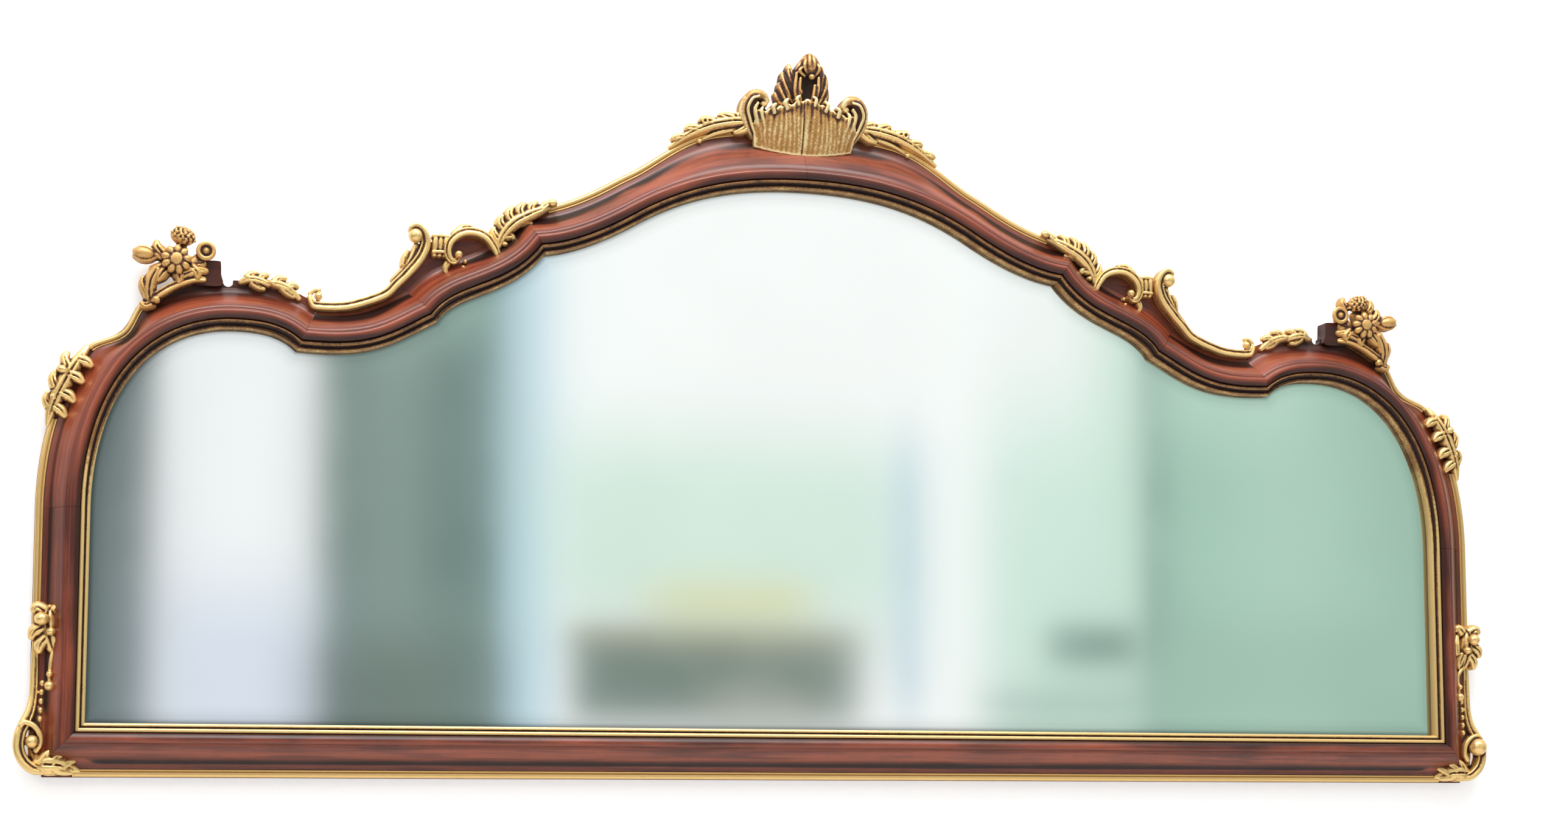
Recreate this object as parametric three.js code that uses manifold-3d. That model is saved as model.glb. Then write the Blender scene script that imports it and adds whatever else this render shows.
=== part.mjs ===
// Overmantel mirror: one silvered plate in a serpentine mahogany moulding with a gilt slip inside,
// a gilt double bead outside and carved gilt ornament at the crest, cusps, shoulders, sides and corners.
// Millimetres. X runs to the right, Z up, the wall is the plane y = 0 and the front faces -Y.
// The halves are mirror images, so the right one is modelled and the left one is its reflection.
// In a Vector2, x is the distance from the middle and y the height. "Lift" is the distance from the wall.
import * as THREE from 'three';
import { mergeVertices } from 'three/addons/utils/BufferGeometryUtils.js';
import Module from 'manifold-3d';

const wasm = await Module();
wasm.setup();

// ---- Driving dimensions -------------------------------------------------------------------------
const railWidth = 60;            // moulding, from the sight edge to the outside
const springHeight = 300;        // where a stile turns into its shoulder

// The opening's curved edge from the stile to the middle: how far each part of it goes inward and climbs.
const shoulderSpan = { inward: 155, climb: 211 };
const crookSpan = { inward: 69, climb: -21 };      // the shoulder's short fall to the first cusp
const dipSpan = { inward: 160, climb: 41 };
const kneeSpan = { inward: 127, climb: 88 };
const archFootSpan = { inward: 112, climb: 45 };   // concave, up to where the arch turns over
const archCrownSpan = { inward: 210, climb: 53 };

const crestCentre = -4;          // the crest and the joint under it stand a little left of the middle
const crestRise = 20;            // the outline lifts this much on its way to the crest

const joint = 0.3;               // open joint between mitred sections
const fit = 0.3;                 // clearance between a piece and what it seats on
const clear = 1;                 // how far a cutter reaches past what it cuts

// Front to back, from the wall: backboards in their rebate, packing, plate, slip, moulding.
const boardRebateDepth = 7.5;
const boardThickness = 5.2;
const boardLap = 14;             // half-lap between the two backboards
const boardPlay = 4;             // room round the backboards in their rebate
const packingWidth = 8;
const packingDepth = 9.5;
const plateThickness = 5;
const platePlay = 3;             // room round the plate in its rebate
const packingLift = boardRebateDepth + packingDepth;
const plateLift = packingLift + fit + plateThickness;
const slipBack = plateLift + fit;

const slipWidth = 10.5;          // gilt slip that shows
const slipFlange = 4.2;          // part of the slip held behind the moulding's lip
const slipFlangeThickness = 9.4;
const slipHeight = 16.8;         // from its back to the crown of its outer reed
const slipFlangeLift = slipBack + slipFlangeThickness;
const slipLift = slipBack + slipHeight;
const glassRebate = slipWidth + slipFlange + fit;
const boardRebate = glassRebate + 9;
const plateCover = glassRebate - platePlay;

const ridgeLift = slipLift + 4.6;   // the moulding's ridge, its foremost line
const beadWidth = 9.7;
const beadStart = railWidth - beadWidth;
const beadSeat = 12.5;           // ledge that carries the bead
const beadHeight = 5.6;
const beadLift = beadSeat + fit + beadHeight;
const beadStep = 3.7;            // the moulding stands this much above its ledge
const cornerCut = 15;            // the frame's bottom corners are sawn off behind the volutes
const voluteHeight = 150;        // a bottom corner's volute reaches this high, and the side bead starts there
const leafTail = 44;             // the shoulder leaf hangs this far below its middle, where that bead ends

const hangerLength = 64;
const hangerWidth = 24;
const hangerThickness = 2;
const hangerSink = 0.2;          // the plate lies this far inside the frame's back
const keyholeEye = 4.5;          // radius of the hole that passes the screw's head
const keyholeNeck = 2.2;         // radius of the slot that holds its shank
const keyholeTravel = 8;
const keyholePocket = 12;        // depth of the hole behind the keyhole

const notchRadius = 6;           // nick in the shoulder between finial and leaf spray
const stepLength = 44;           // spacing of sections along a curved moulding
const overrun = railWidth * 0.75;   // how far a moulding runs on before its mitre is sawn

// ---- Solids -------------------------------------------------------------------------------------
const worldPoint = (half, height, lift) => new THREE.Vector3(half, -lift, height);

function toSolid(geometry) {
  const bare = geometry.clone();
  bare.deleteAttribute('normal');
  bare.deleteAttribute('uv');
  const merged = mergeVertices(bare, 1e-4);
  return new wasm.Manifold(new wasm.Mesh({
    numProp: 3,
    vertProperties: Float32Array.from(merged.attributes.position.array),
    triVerts: Uint32Array.from(merged.index.array),
  }));
}

function toGeometry(solid) {
  const mesh = solid.getMesh();
  const geometry = new THREE.BufferGeometry();
  geometry.setAttribute('position', new THREE.BufferAttribute(mesh.vertProperties, 3));
  geometry.setIndex(new THREE.BufferAttribute(mesh.triVerts, 1));
  return geometry;
}

const join = solids => solids.reduce((whole, solid) => whole.add(solid));
const mirrored = solid => solid.mirror([1, 0, 0]);
const bothEnds = (solid, cut) => mirrored(cut(mirrored(cut(solid))));

// A cut can leave slivers beside the piece, so the piece is the largest body that is left.
function carve(solid, cutters) {
  const rest = cutters.reduce((left, cutter) => left.subtract(cutter), solid);
  return rest.decompose().reduce((best, body) => (body.volume() > best.volume() ? body : best));
}

// Closed loft through rings that all have the same number of points. The outline gives the ring's
// shape in two dimensions, from which the end caps are triangulated (always anticlockwise).
function loft(rings, outline) {
  const count = outline.length;
  const last = (rings.length - 1) * count;
  const faces = [];
  for (let here = 0; here < last; here += count) {
    for (let i = 0; i < count; i += 1) {
      const next = (i + 1) % count;
      faces.push([here + i, here + next, here + count + next], [here + i, here + count + next, here + count + i]);
    }
  }
  const clockwise = THREE.ShapeUtils.isClockWise(outline);
  for (const face of THREE.ShapeUtils.triangulateShape(outline, [])) {
    const [a, b, c] = clockwise ? face.reverse() : face;
    faces.push([c, b, a], [last + a, last + b, last + c]);
  }
  const positions = rings.flat().flatMap(point => point.toArray());
  const outside = signedVolume(positions, faces) > 0;
  const geometry = new THREE.BufferGeometry();
  geometry.setAttribute('position', new THREE.Float32BufferAttribute(positions, 3));
  geometry.setIndex(faces.flatMap(([a, b, c]) => (outside ? [a, b, c] : [a, c, b])));
  return toSolid(geometry);
}

function signedVolume(positions, faces) {
  const vertex = i => new THREE.Vector3().fromArray(positions, 3 * i);
  return faces.reduce((sum, [a, b, c]) => sum + vertex(a).dot(vertex(b).cross(vertex(c))), 0);
}

// An outline seen from the front, between two lifts.
function slab(outline, lowLift, highLift) {
  const geometry = new THREE.ExtrudeGeometry(new THREE.Shape(outline), { depth: highLift - lowLift, bevelEnabled: false });
  geometry.rotateX(Math.PI / 2);
  geometry.translate(0, -lowLift, 0);
  return toSolid(geometry);
}

const disc = (centre, radius) => new THREE.Path().absarc(centre.x, centre.y, radius, 0, 2 * Math.PI).getPoints(4).slice(1);

const rectangle = (left, right, low, high) => [
  new THREE.Vector2(left, low), new THREE.Vector2(right, low), new THREE.Vector2(right, high), new THREE.Vector2(left, high),
];

// ---- The sight edge -----------------------------------------------------------------------------
const radians = degrees => degrees * Math.PI / 180;
const heading = degrees => new THREE.Vector2(-Math.cos(radians(degrees)), Math.sin(radians(degrees)));

// A stretch of the sight edge, travelling from the bottom corner up and over to the middle.
// Headings are degrees above the horizontal, pulls are the curve's handles as shares of its chord.
function stretch(start, startHeading, startPull, end, endHeading, endPull) {
  const chord = start.distanceTo(end);
  return new THREE.CubicBezierCurve(
    start, start.clone().addScaledVector(heading(startHeading), startPull * chord),
    end.clone().addScaledVector(heading(endHeading), -endPull * chord), end,
  );
}

const spans = [shoulderSpan, crookSpan, dipSpan, kneeSpan, archFootSpan, archCrownSpan];
const sightHalfWidth = spans.reduce((sum, { inward }) => sum + inward, 0);
const corner = new THREE.Vector2(sightHalfWidth, railWidth);
const spring = new THREE.Vector2(sightHalfWidth, springHeight);
const reached = (from, { inward, climb }) => new THREE.Vector2(from.x - inward, from.y + climb);
const shoulderTop = reached(spring, shoulderSpan);
const dipCusp = reached(shoulderTop, crookSpan);
const kneeCusp = reached(dipCusp, dipSpan);
const archCusp = reached(kneeCusp, kneeSpan);
const archWaist = reached(archCusp, archFootSpan);
const apex = reached(archWaist, archCrownSpan);

const bottom = [new THREE.LineCurve(new THREE.Vector2(0, railWidth), corner)];
const stile = [new THREE.LineCurve(corner, spring)];
const shoulder = [
  stretch(spring, 90, 0.5, shoulderTop, 0, 0.36),
  stretch(shoulderTop, 0, 0.42, dipCusp, -45, 0.33),
];
const dip = [stretch(dipCusp, -4, 0.545, kneeCusp, 28, 0.333)];
const knee = [stretch(kneeCusp, 58, 0.29, archCusp, 52, 0.453)];
const arch = [
  stretch(archCusp, 8, 0.33, archWaist, 31, 0.315),
  stretch(archWaist, 31, 0.323, apex, 0, 0.4155),
];

const outward = tangent => new THREE.Vector2(tangent.y, -tangent.x);
const startOf = run => run[0].getPointAt(0);
const endOf = run => run[run.length - 1].getPointAt(1);
const startTangent = run => run[0].getTangentAt(0);
const endTangent = run => run[run.length - 1].getTangentAt(1);

// Stations along a run of curves: the place, the way on, the way out and the share of the run behind.
function stations(run) {
  const whole = run.reduce((sum, curve) => sum + curve.getLength(), 0);
  const list = [];
  let behind = 0;
  run.forEach((curve, index) => {
    const length = curve.getLength();
    const steps = curve.isLineCurve ? 1 : Math.max(2, Math.ceil(length / stepLength));
    for (let i = index === 0 ? 0 : 1; i <= steps; i += 1) {
      const tangent = curve.getTangentAt(i / steps);
      const share = (behind + length * i / steps) / whole;
      list.push({ point: curve.getPointAt(i / steps), tangent, normal: outward(tangent), share });
    }
    behind += length;
  });
  return list;
}

const moved = (station, distance) => ({ ...station, point: station.point.clone().addScaledVector(station.tangent, distance) });

// The same run carried straight on at both ends, so that a mitre can be sawn through it.
function lengthened(run) {
  const list = stations(run);
  return [moved(list[0], -overrun), ...list, moved(list[list.length - 1], overrun)];
}

const offsetPoint = (station, offset) => station.point.clone().addScaledVector(station.normal, offset);
const carriedOut = (station, offset) => offset;

// Sweeps a profile of [offset from the sight edge, lift] along stations. Reach says how far out an
// offset lies at a station, for a moulding that widens along its run.
function sweep(list, profile, reach = carriedOut) {
  const rings = list.map(station => profile.map(([offset, lift]) => {
    const point = offsetPoint(station, reach(station, offset));
    return worldPoint(point.x, point.y, lift);
  }));
  return loft(rings, profile.map(([offset, lift]) => new THREE.Vector2(offset, lift)));
}

// Keeps what lies more than a gap ahead of a plane that stands square to the wall.
function saw(solid, point, ahead, gap) {
  const normal = ahead.clone().normalize();
  return solid.trimByPlane([normal.x, 0, normal.y], normal.dot(point) + gap);
}

const above = (solid, height) => solid.trimByPlane([0, 0, 1], height);
const below = (solid, height) => solid.trimByPlane([0, 0, -1], -height);
const beyond = (solid, half) => solid.trimByPlane([1, 0, 0], half);
const within = (solid, half) => solid.trimByPlane([-1, 0, 0], -half);

const sections = [bottom, stile, shoulder, dip, knee, arch];

// The arch widens toward the crest: its ridge stays on its line and everything outside is carried up.
const rise = station => crestRise * THREE.MathUtils.smoothstep(station.share, 0.42, 0.72);
const widened = (station, offset) => offset + rise(station) * THREE.MathUtils.clamp((offset - boardRebate) / (beadStart - boardRebate), 0, 1);

// One section of the frame, with any board that widens it, mitred against the runs before and after it.
function mitred(run, profile, { gap = joint / 2, board, reach, before, after } = {}) {
  const index = sections.indexOf(run);
  const previous = before ?? sections[index - 1];
  const next = after ?? sections[index + 1];
  const plain = sweep(lengthened(run), profile, reach);
  let solid = board ? plain.add(board) : plain;
  if (previous) solid = saw(solid, startOf(run), endTangent(previous).add(startTangent(run)), gap);
  if (next) solid = saw(solid, endOf(run), endTangent(run).add(startTangent(next)).negate(), gap);
  return solid;
}

// The bottom section runs from corner to corner in one length.
function bottomLength(profile, gap = joint / 2) {
  const far = lengthened(bottom).at(-1);
  const start = { ...far, point: new THREE.Vector2(-far.point.x, far.point.y) };
  const mitre = solid => saw(solid, corner, endTangent(bottom).add(startTangent(stile)).negate(), gap);
  return bothEnds(sweep([start, far], profile), mitre);
}

// ---- Profiles -----------------------------------------------------------------------------------
const lipStart = slipWidth + fit;
const scotiaWidth = beadStart - lipStart;

// The moulding's face, as shares of its width from lip to bead and of its drop from ridge to bead:
// a rounded ridge, a small quirk and a long hollow.
const faceDrop = ridgeLift - beadSeat - beadStep;
const face = [
  [0, 0.2], [0.1, 0.05], [0.24, 0], [0.29, 0.1], [0.33, 0.105], [0.55, 0.417], [0.75, 0.8], [1, 1],
].map(([share, drop]) => [lipStart + share * scotiaWidth, ridgeLift - drop * faceDrop]);

const woodProfile = [
  [railWidth, 0], [boardRebate, 0], [boardRebate, boardRebateDepth], [glassRebate, boardRebateDepth],
  [glassRebate, slipFlangeLift + fit], [lipStart, slipFlangeLift + fit],
  ...face, [beadStart, beadSeat], [railWidth, beadSeat],
];
// What the carving keeps clear of: the same face over slip and moulding, as far out as the bead.
const woodEnvelope = [[beadStart + fit, 0], [0, 0], [0, slipLift + fit], ...face.map(([offset, lift]) => [offset + fit, lift + fit])];

// The slip's large and small reed, as shares of its width and drops below its crown.
const slipReeds = [[1, 1.6], [0.76, 0], [0.5, 1.9], [0.24, 1.5], [0, 5]].map(([share, drop]) => [share * slipWidth, slipLift - drop]);
const slipProfile = [
  [0, slipBack], [slipWidth + slipFlange, slipBack], [slipWidth + slipFlange, slipFlangeLift], [slipWidth, slipFlangeLift], ...slipReeds,
];

// The bead's small and large reed, as shares of its width and drops below its crown.
const beadReeds = [[0.03, 3.5], [0.19, 2.4], [0.33, 3.4], [0.45, 1.2], [0.66, 0], [0.9, 1.3], [1, 3.6]];
const beadFoot = beadSeat + fit;
const beadOutline = (grow) => {
  const inside = beadStart + fit - grow;
  const outside = railWidth + grow;
  const crown = beadReeds.map(([share, drop]) => [inside + share * (outside - inside), beadLift - drop + grow]);
  return [[inside, beadFoot - grow], ...crown, [outside, beadFoot - grow]];
};
const beadProfile = beadOutline(0);
const beadEnvelope = beadOutline(fit);

const boardLift = boardRebateDepth - fit;
const packingProfile = [
  [plateCover - packingWidth, boardRebateDepth], [plateCover, boardRebateDepth],
  [plateCover, packingLift], [plateCover - packingWidth, packingLift],
];

// ---- Places that carry the ornament -------------------------------------------------------------
function outerPoint(curve, t, offset = railWidth) {
  return curve.getPointAt(t).addScaledVector(outward(curve.getTangentAt(t)), offset);
}

const shift = (point, half, height) => point.clone().add(new THREE.Vector2(half, height));

// Rows that start with [half, height] from an anchor, moved to where the anchor is.
const from = (anchor, rows) => rows.map(([half, height, ...rest]) => [anchor.x + half, anchor.y + height, ...rest]);
const smooth = rows => new THREE.SplineCurve(rows.map(([half, height]) => new THREE.Vector2(half, height))).getPoints(rows.length * 2);

const cornerAnchor = new THREE.Vector2(sightHalfWidth + railWidth, 0);
const sideAnchor = outerPoint(stile[0], 0.47);
const leafAnchor = outerPoint(shoulder[0], 0.42);
const finialAnchor = outerPoint(shoulder[0], 0.8);
const sprayAnchor = outerPoint(shoulder[1], 0.45);
const crestAnchor = shift(apex, crestCentre, railWidth);

// ---- Carving ------------------------------------------------------------------------------------
// A strand is a rounded rib with a flat back. Its rows are [half, height, half width, front lift].
const rounded = [[-1, 0], [-0.92, 0.62], [0, 1], [0.92, 0.62], [1, 0]];
const ridged = [[-1, 0], [0, 1], [1, 0]];
const carvingBack = beadSeat + fit;   // all carving is planted on the ledge that carries the bead

function strand(rows, { steps = Math.ceil(rows.length * 1.4) - 1, section = rounded, grow = 0 } = {}) {
  const line = new THREE.CatmullRomCurve3(rows.map(([half, height, , front]) => new THREE.Vector3(half, height, front)), false, 'centripetal');
  const widths = new THREE.SplineCurve(rows.map(([, , width], i) => new THREE.Vector2(i, width)));
  const rings = [];
  for (let i = 0; i <= steps; i += 1) {
    const tangent = line.getTangent(i / steps);
    const centre = line.getPoint(i / steps).addScaledVector(tangent, grow * ((i === steps) - (i === 0)));
    const side = new THREE.Vector2(tangent.y, -tangent.x).normalize().multiplyScalar(widths.getPoint(i / steps).y + grow);
    const floor = carvingBack - grow;
    const depth = centre.z + grow - floor;
    rings.push(section.map(([across, up]) => worldPoint(centre.x + side.x * across, centre.y + side.y * across, floor + depth * up)));
  }
  return loft(rings, section.map(([across, up]) => new THREE.Vector2(across, up)));
}

// A small pointed lobe of a leaf.
const lobe = (rows, grow) => strand(rows, { steps: 2, section: ridged, grow });

// An egg-shaped bud, [half, height, lift], turned in the plane of the wall. Its back is flat.
function bud([half, height, lift], [long, wide, deep], turn = 0, grow = 0) {
  const geometry = new THREE.SphereGeometry(1, 7, 4);
  geometry.rotateX(Math.PI / 2);
  geometry.scale(long + grow, deep + grow, wide + grow);
  geometry.rotateY(radians(turn));
  geometry.translate(half, -lift, height);
  return toSolid(geometry).trimByPlane([0, -1, 0], carvingBack - grow);
}

// ---- Mahogany -----------------------------------------------------------------------------------
// A thin board of the same wood reaches past the moulding where the carving needs a ground.
const ground = rows => slab(smooth(rows), 0, beadSeat);

// The outline is hollowed between the finial and the shoulder leaf, and the bead follows it.
const scoopTop = shift(finialAnchor, 25, -20);
const scoopFoot = shift(leafAnchor, -20, 43);
const scoopHandle = shift(scoopTop.clone().lerp(scoopFoot, 0.5), -14, -15);
const scoop = [new THREE.QuadraticBezierCurve(scoopFoot, scoopHandle, scoopTop)];
const onRail = (station, offset) => offset - railWidth;

function scoopCutters() {
  const high = ridgeLift + clear;
  const outside = [[0, -clear], [0, high], [railWidth, high], [railWidth, -clear]];
  const ledge = [[-beadWidth, beadSeat], [-beadWidth, high], [clear, high], [clear, beadSeat]];
  const list = stations(scoop);
  const line = [moved(list[0], -notchRadius), ...list, moved(list.at(-1), notchRadius)];
  return [sweep(line, outside), sweep(line, ledge)];
}

const hangerPlace = shift(shoulderTop, 0, boardRebate + (railWidth - boardRebate) / 2);
const eyePlace = shift(hangerPlace, 0, -keyholeTravel / 2);
const neckPlace = shift(hangerPlace, 0, keyholeTravel / 2);
const around = (place, length, width) => rectangle(place.x - length / 2, place.x + length / 2, place.y - width / 2, place.y + width / 2);

function hangerPockets() {
  const pocketWidth = 3 * keyholeEye;
  return [
    slab(around(hangerPlace, hangerLength + 2 * fit, hangerWidth + 2 * fit), -clear, hangerSink + hangerThickness + fit),
    slab(around(hangerPlace, pocketWidth, pocketWidth + keyholeTravel), -clear, keyholePocket),
  ];
}

function hangerPlate() {
  const low = hangerSink;
  const high = hangerSink + hangerThickness;
  return carve(slab(around(hangerPlace, hangerLength, hangerWidth), low, high), [
    slab(disc(eyePlace, keyholeEye), low - clear, high + clear),
    slab(disc(neckPlace, keyholeNeck), low - clear, high + clear),
    slab(around(hangerPlace, 2 * keyholeNeck, keyholeTravel), low - clear, high + clear),
  ]);
}

// The square corner behind a volute is sawn off.
function cornerSawn(solid) {
  return saw(solid, shift(cornerAnchor, -cornerCut, 0), new THREE.Vector2(-1, 1), 0);
}

const bottomRail = () => bothEnds(bottomLength(woodProfile), cornerSawn);
const stileWood = () => cornerSawn(mitred(stile, woodProfile));

const finialGroundRows = from(finialAnchor, [[8, -20], [-4, -4], [-22, 8], [-45, 13], [-64, 13], [-64, -10], [-30, -16]]);
const notchPlace = shift(shoulderTop, 9, railWidth - 2);

function shoulderWood() {
  const body = mitred(shoulder, woodProfile, { board: ground(finialGroundRows) });
  const nick = slab(disc(notchPlace, notchRadius), -clear, ridgeLift);
  return carve(body, [...scoopCutters(), ...hangerPockets(), nick]);
}

const kneeGroundRows = from(kneeCusp, [
  [34, 52], [25, 70], [16, 88], [10, 98], [-8, 98], [-26, 104], [-44, 106], [-60, 104],
  [-74, 112], [-90, 124], [-102, 130], [-98, 114], [-70, 90], [-30, 66], [10, 48],
]);

const kneeWood = () => mitred(knee, woodProfile, { board: ground(kneeGroundRows) });

// One half of the arch, long enough for the joint under the crest, which stands left of the middle.
const archWood = () => mitred(arch, woodProfile, { reach: widened });

// ---- Gilt slip and bead -------------------------------------------------------------------------
const side = [...stile, ...shoulder];
const slipSide = () => mitred(side, slipProfile, { before: bottom, after: dip });

const sideBeadFoot = cornerAnchor.y + voluteHeight + fit;
const sideBeadTop = leafAnchor.y - leafTail;
const sideBead = outline => below(above(sweep(lengthened(side), outline), sideBeadFoot), sideBeadTop);
const bottomBeadEnd = sightHalfWidth + 12;
const bottomBead = outline => bothEnds(bottomLength(outline), solid => within(solid, bottomBeadEnd));
const scoopBead = outline => sweep(stations(scoop), outline, onRail);
const archBeadStart = archCusp.x - 6;
const archBeadEnd = 80;
const archBead = outline => within(beyond(sweep(lengthened(arch), outline, widened), archBeadEnd), archBeadStart);

// ---- Carved ornament ----------------------------------------------------------------------------
// The two side knots and the two corner balls were carved by hand and don't quite match.
const knotPlace = { right: shift(sideAnchor, 3, 0), left: shift(sideAnchor, -8, -9) };
const cornerBall = {
  right: { place: shift(cornerAnchor, 4, 46), radius: 11.5 },
  left: { place: shift(cornerAnchor, -4, 39), radius: 8 },
};

// A knot of leaves with a boss, and two berries that hang from it over the stile.
function sideKnot(place, grow = 0) {
  const berries = sideAnchor.x - 21 - place.x;
  return join([
    strand(from(place, [[-12, 26, 4, 26], [-9, 14, 11, 32], [-10, -2, 12.5, 34], [-14, -18, 8, 31], [berries, -36, 3.2, 30]]), { grow }),
    strand(from(place, [[-26, 14, 4, 29], [-30, 2, 6.5, 34], [-26, -10, 4.5, 32]]), { grow, steps: 4 }),
    bud([place.x - 2, place.y + 12, 26], [8.5, 8, 12], 20, grow),
    bud([place.x - 6, place.y - 10, 24], [9, 9, 13], 0, grow),
    strand(from(place, [[berries, -34, 3, 30], [berries, -66, 2.6, 30]]), { grow, steps: 1 }),
    bud([place.x + berries, place.y - 52, 26], [3.8, 3.8, 6], 0, grow),
    bud([place.x + berries, place.y - 64, 26], [5.8, 5.8, 7], 0, grow),
  ]);
}

const cornerVolute = ({ place, radius }, grow = 0) => join([
  strand(from(cornerAnchor, [
    [-4.5, voluteHeight, 4.2, 18], [-4.5, 112, 4.4, 19], [-4, 90, 4.6, 20], [-1.5, 72, 5.4, 23], [4, 60, 6, 27], [10, 47, 6.2, 29],
    [10, 32, 6.2, 29], [5, 19, 6, 29], [-6, 9, 5.8, 28], [-18, 7, 4.6, 24],
  ]), { grow }),
  strand(from(cornerAnchor, [[-8, 66, 7, 17], [-6, 38, 13, 18], [-10, 12, 9, 17]]), { grow, steps: 3 }),
  bud([place.x, place.y, 22], [radius, radius, radius + 3], 0, grow),
]);

const cornerLeaf = (grow = 0) => join([
  strand(from(cornerAnchor, [[-8, 12, 7, 25], [-20, 13, 11, 29], [-34, 12, 10, 28], [-46, 9, 5.5, 23], [-54, 7, 2, 19]]), { grow }),
  lobe(from(cornerAnchor, [[-16, 16, 5, 28], [-22, 26, 2, 28]]), grow),
  lobe(from(cornerAnchor, [[-30, 14, 5, 28], [-37, 22, 2, 27]]), grow),
]);

const shoulderLeaf = (grow = 0) => join([
  strand(from(leafAnchor, [
    [17, -52, 2.5, 19], [13, -34, 7, 25], [4, -12, 10, 30], [-7, 10, 10, 31], [-18, 29, 6, 27], [-25, 40, 3.5, 22],
  ]), { grow }),
  lobe(from(leafAnchor, [[9, -32, 5, 27], [-1, -38, 1.8, 27]]), grow),
  lobe(from(leafAnchor, [[2, -12, 5.5, 30], [-11, -19, 1.8, 30]]), grow),
  lobe(from(leafAnchor, [[-6, 8, 5.5, 31], [-20, 3, 1.8, 32]]), grow),
  bud([leafAnchor.x + 3, leafAnchor.y + 12, 22], [7.5, 5.5, 7], 25, grow),
]);

const finialBase = (grow = 0) => join([
  strand(from(finialAnchor, [[13, -20, 6, 26], [16, -6, 8, 31], [14, 10, 8.5, 33], [7, 24, 7, 34]]), { grow, steps: 5 }),
  strand(from(finialAnchor, [[14, -12, 5.5, 30], [0, -3, 5.5, 31], [-16, 7, 5, 30], [-34, 15, 5, 29], [-62, 17, 4, 26]]), { grow, steps: 6 }),
  strand(from(finialAnchor, [[-24, 18, 7, 31], [-42, 25, 8, 31], [-62, 26, 4.5, 27]]), { grow, steps: 4 }),
]);

const finialBouquet = (grow = 0) => join([
  strand(from(finialAnchor, [[14, 22, 8, 30], [-4, 29, 12, 32], [-24, 33, 13, 32], [-46, 34, 8, 30]]), { grow, steps: 4 }),
  strand(from(finialAnchor, [[-12, 32, 10, 32], [-21, 60, 9, 33]]), { grow, steps: 1 }),
  strand(from(finialAnchor, [[-2, 34, 8, 31], [22, 40, 4, 31]]), { grow, steps: 1 }),
  lobe(from(finialAnchor, [[-2, 40, 7, 30], [9, 57, 1.6, 28]]), grow),
  bud([finialAnchor.x - 14, finialAnchor.y + 32, 28], [12, 11, 13], 0, grow),
  bud([finialAnchor.x - 21, finialAnchor.y + 62, 25], [16, 11, 13], 12, grow),
  bud([finialAnchor.x - 47, finialAnchor.y + 45, 24], [10.5, 10.5, 12], 0, grow),
  bud([finialAnchor.x + 23, finialAnchor.y + 38, 25], [12.5, 8, 9], 8, grow),
]);

const topSpray = (grow = 0) => join([
  strand(from(sprayAnchor, [[42, 0, 3, 22], [32, 5, 6, 26], [20, 4, 6, 27], [8, -1, 4, 25]]), { grow, steps: 5 }),
  strand(from(sprayAnchor, [[12, 1, 4, 25], [0, 0, 6, 27], [-14, -5, 6, 26], [-27, -16, 3, 21]]), { grow, steps: 5 }),
  lobe(from(sprayAnchor, [[28, 6, 4, 26], [22, 13, 1.6, 23]]), grow),
  lobe(from(sprayAnchor, [[0, 2, 4, 26], [-6, 9, 1.6, 23]]), grow),
]);

// The long C-scroll leaves its hook at the shoulder, follows the dip and climbs to its ball.
function longScroll(grow = 0) {
  const along = [0.12, 0.45, 0.76].map(t => {
    const point = outerPoint(dip[0], t, railWidth - 4);
    return [point.x, point.y, 5.6, 22 + 8 * t];
  });
  const hook = from(dipCusp, [[-17, 71, 3.4, 22]]);
  const climb = from(kneeCusp, [
    [47, 44, 5.6, 29], [33, 59, 5.8, 30], [20, 76, 6, 31], [14, 92, 6, 32], [16, 104, 5.4, 33], [24, 112, 5, 33], [32, 109, 4, 32],
  ]);
  return join([
    strand([...hook, ...along, ...climb], { grow, steps: 17 }),
    bud([kneeCusp.x + 25, kneeCusp.y + 102, 26], [9, 9, 10], 0, grow),
    bud([dipCusp.x - 24, dipCusp.y + 66, 18], [5, 5, 7], 0, grow),
    strand(from(kneeCusp, [[48, 50, 3, 22], [36, 64, 4.5, 25], [26, 84, 2, 24]]), { grow, steps: 4 }),
  ]);
}

const linkBlock = (grow = 0) => join([-1, 0, 1].map(flute => strand(from(kneeCusp, [
  [-3 + 6.2 * flute, 82, 3.9, 25], [-3.5 + 6 * flute, 93, 4, 29], [-4 + 5.8 * flute, 106 - 2 * Math.abs(flute), 3.6, 27],
]), { grow, steps: 2 })));

const smallScroll = (grow = 0) => join([
  strand(from(kneeCusp, [
    [-25, 77, 3.4, 26], [-16, 77, 4, 28], [-12, 88, 4.6, 30], [-17, 100, 5, 31], [-30, 109, 5, 31], [-45, 110, 5, 31],
    [-58, 105, 4.8, 30], [-67, 94, 4.4, 29], [-72, 80, 3, 27],
  ]), { grow, steps: 13 }),
  bud([kneeCusp.x - 24, kneeCusp.y + 83, 26], [5, 5, 8], 0, grow),
]);

const acanthus = (grow = 0) => join([
  strand(from(archCusp, [
    [55, 10, 4, 25], [47, 27, 8.5, 29], [35, 39, 9.5, 32], [21, 47, 8.5, 31], [7, 54, 6.5, 29], [-7, 59, 3.5, 23],
  ]), { grow }),
  lobe(from(archCusp, [[49, 20, 5.5, 28], [56, 30, 4.5, 28], [55, 39, 1.8, 26]]), grow),
  lobe(from(archCusp, [[39, 34, 5.5, 31], [45, 44, 4.6, 30], [41, 54, 1.8, 27]]), grow),
  lobe(from(archCusp, [[23, 46, 5, 31], [25, 55, 4.4, 30], [17, 64, 1.8, 27]]), grow),
]);

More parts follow.
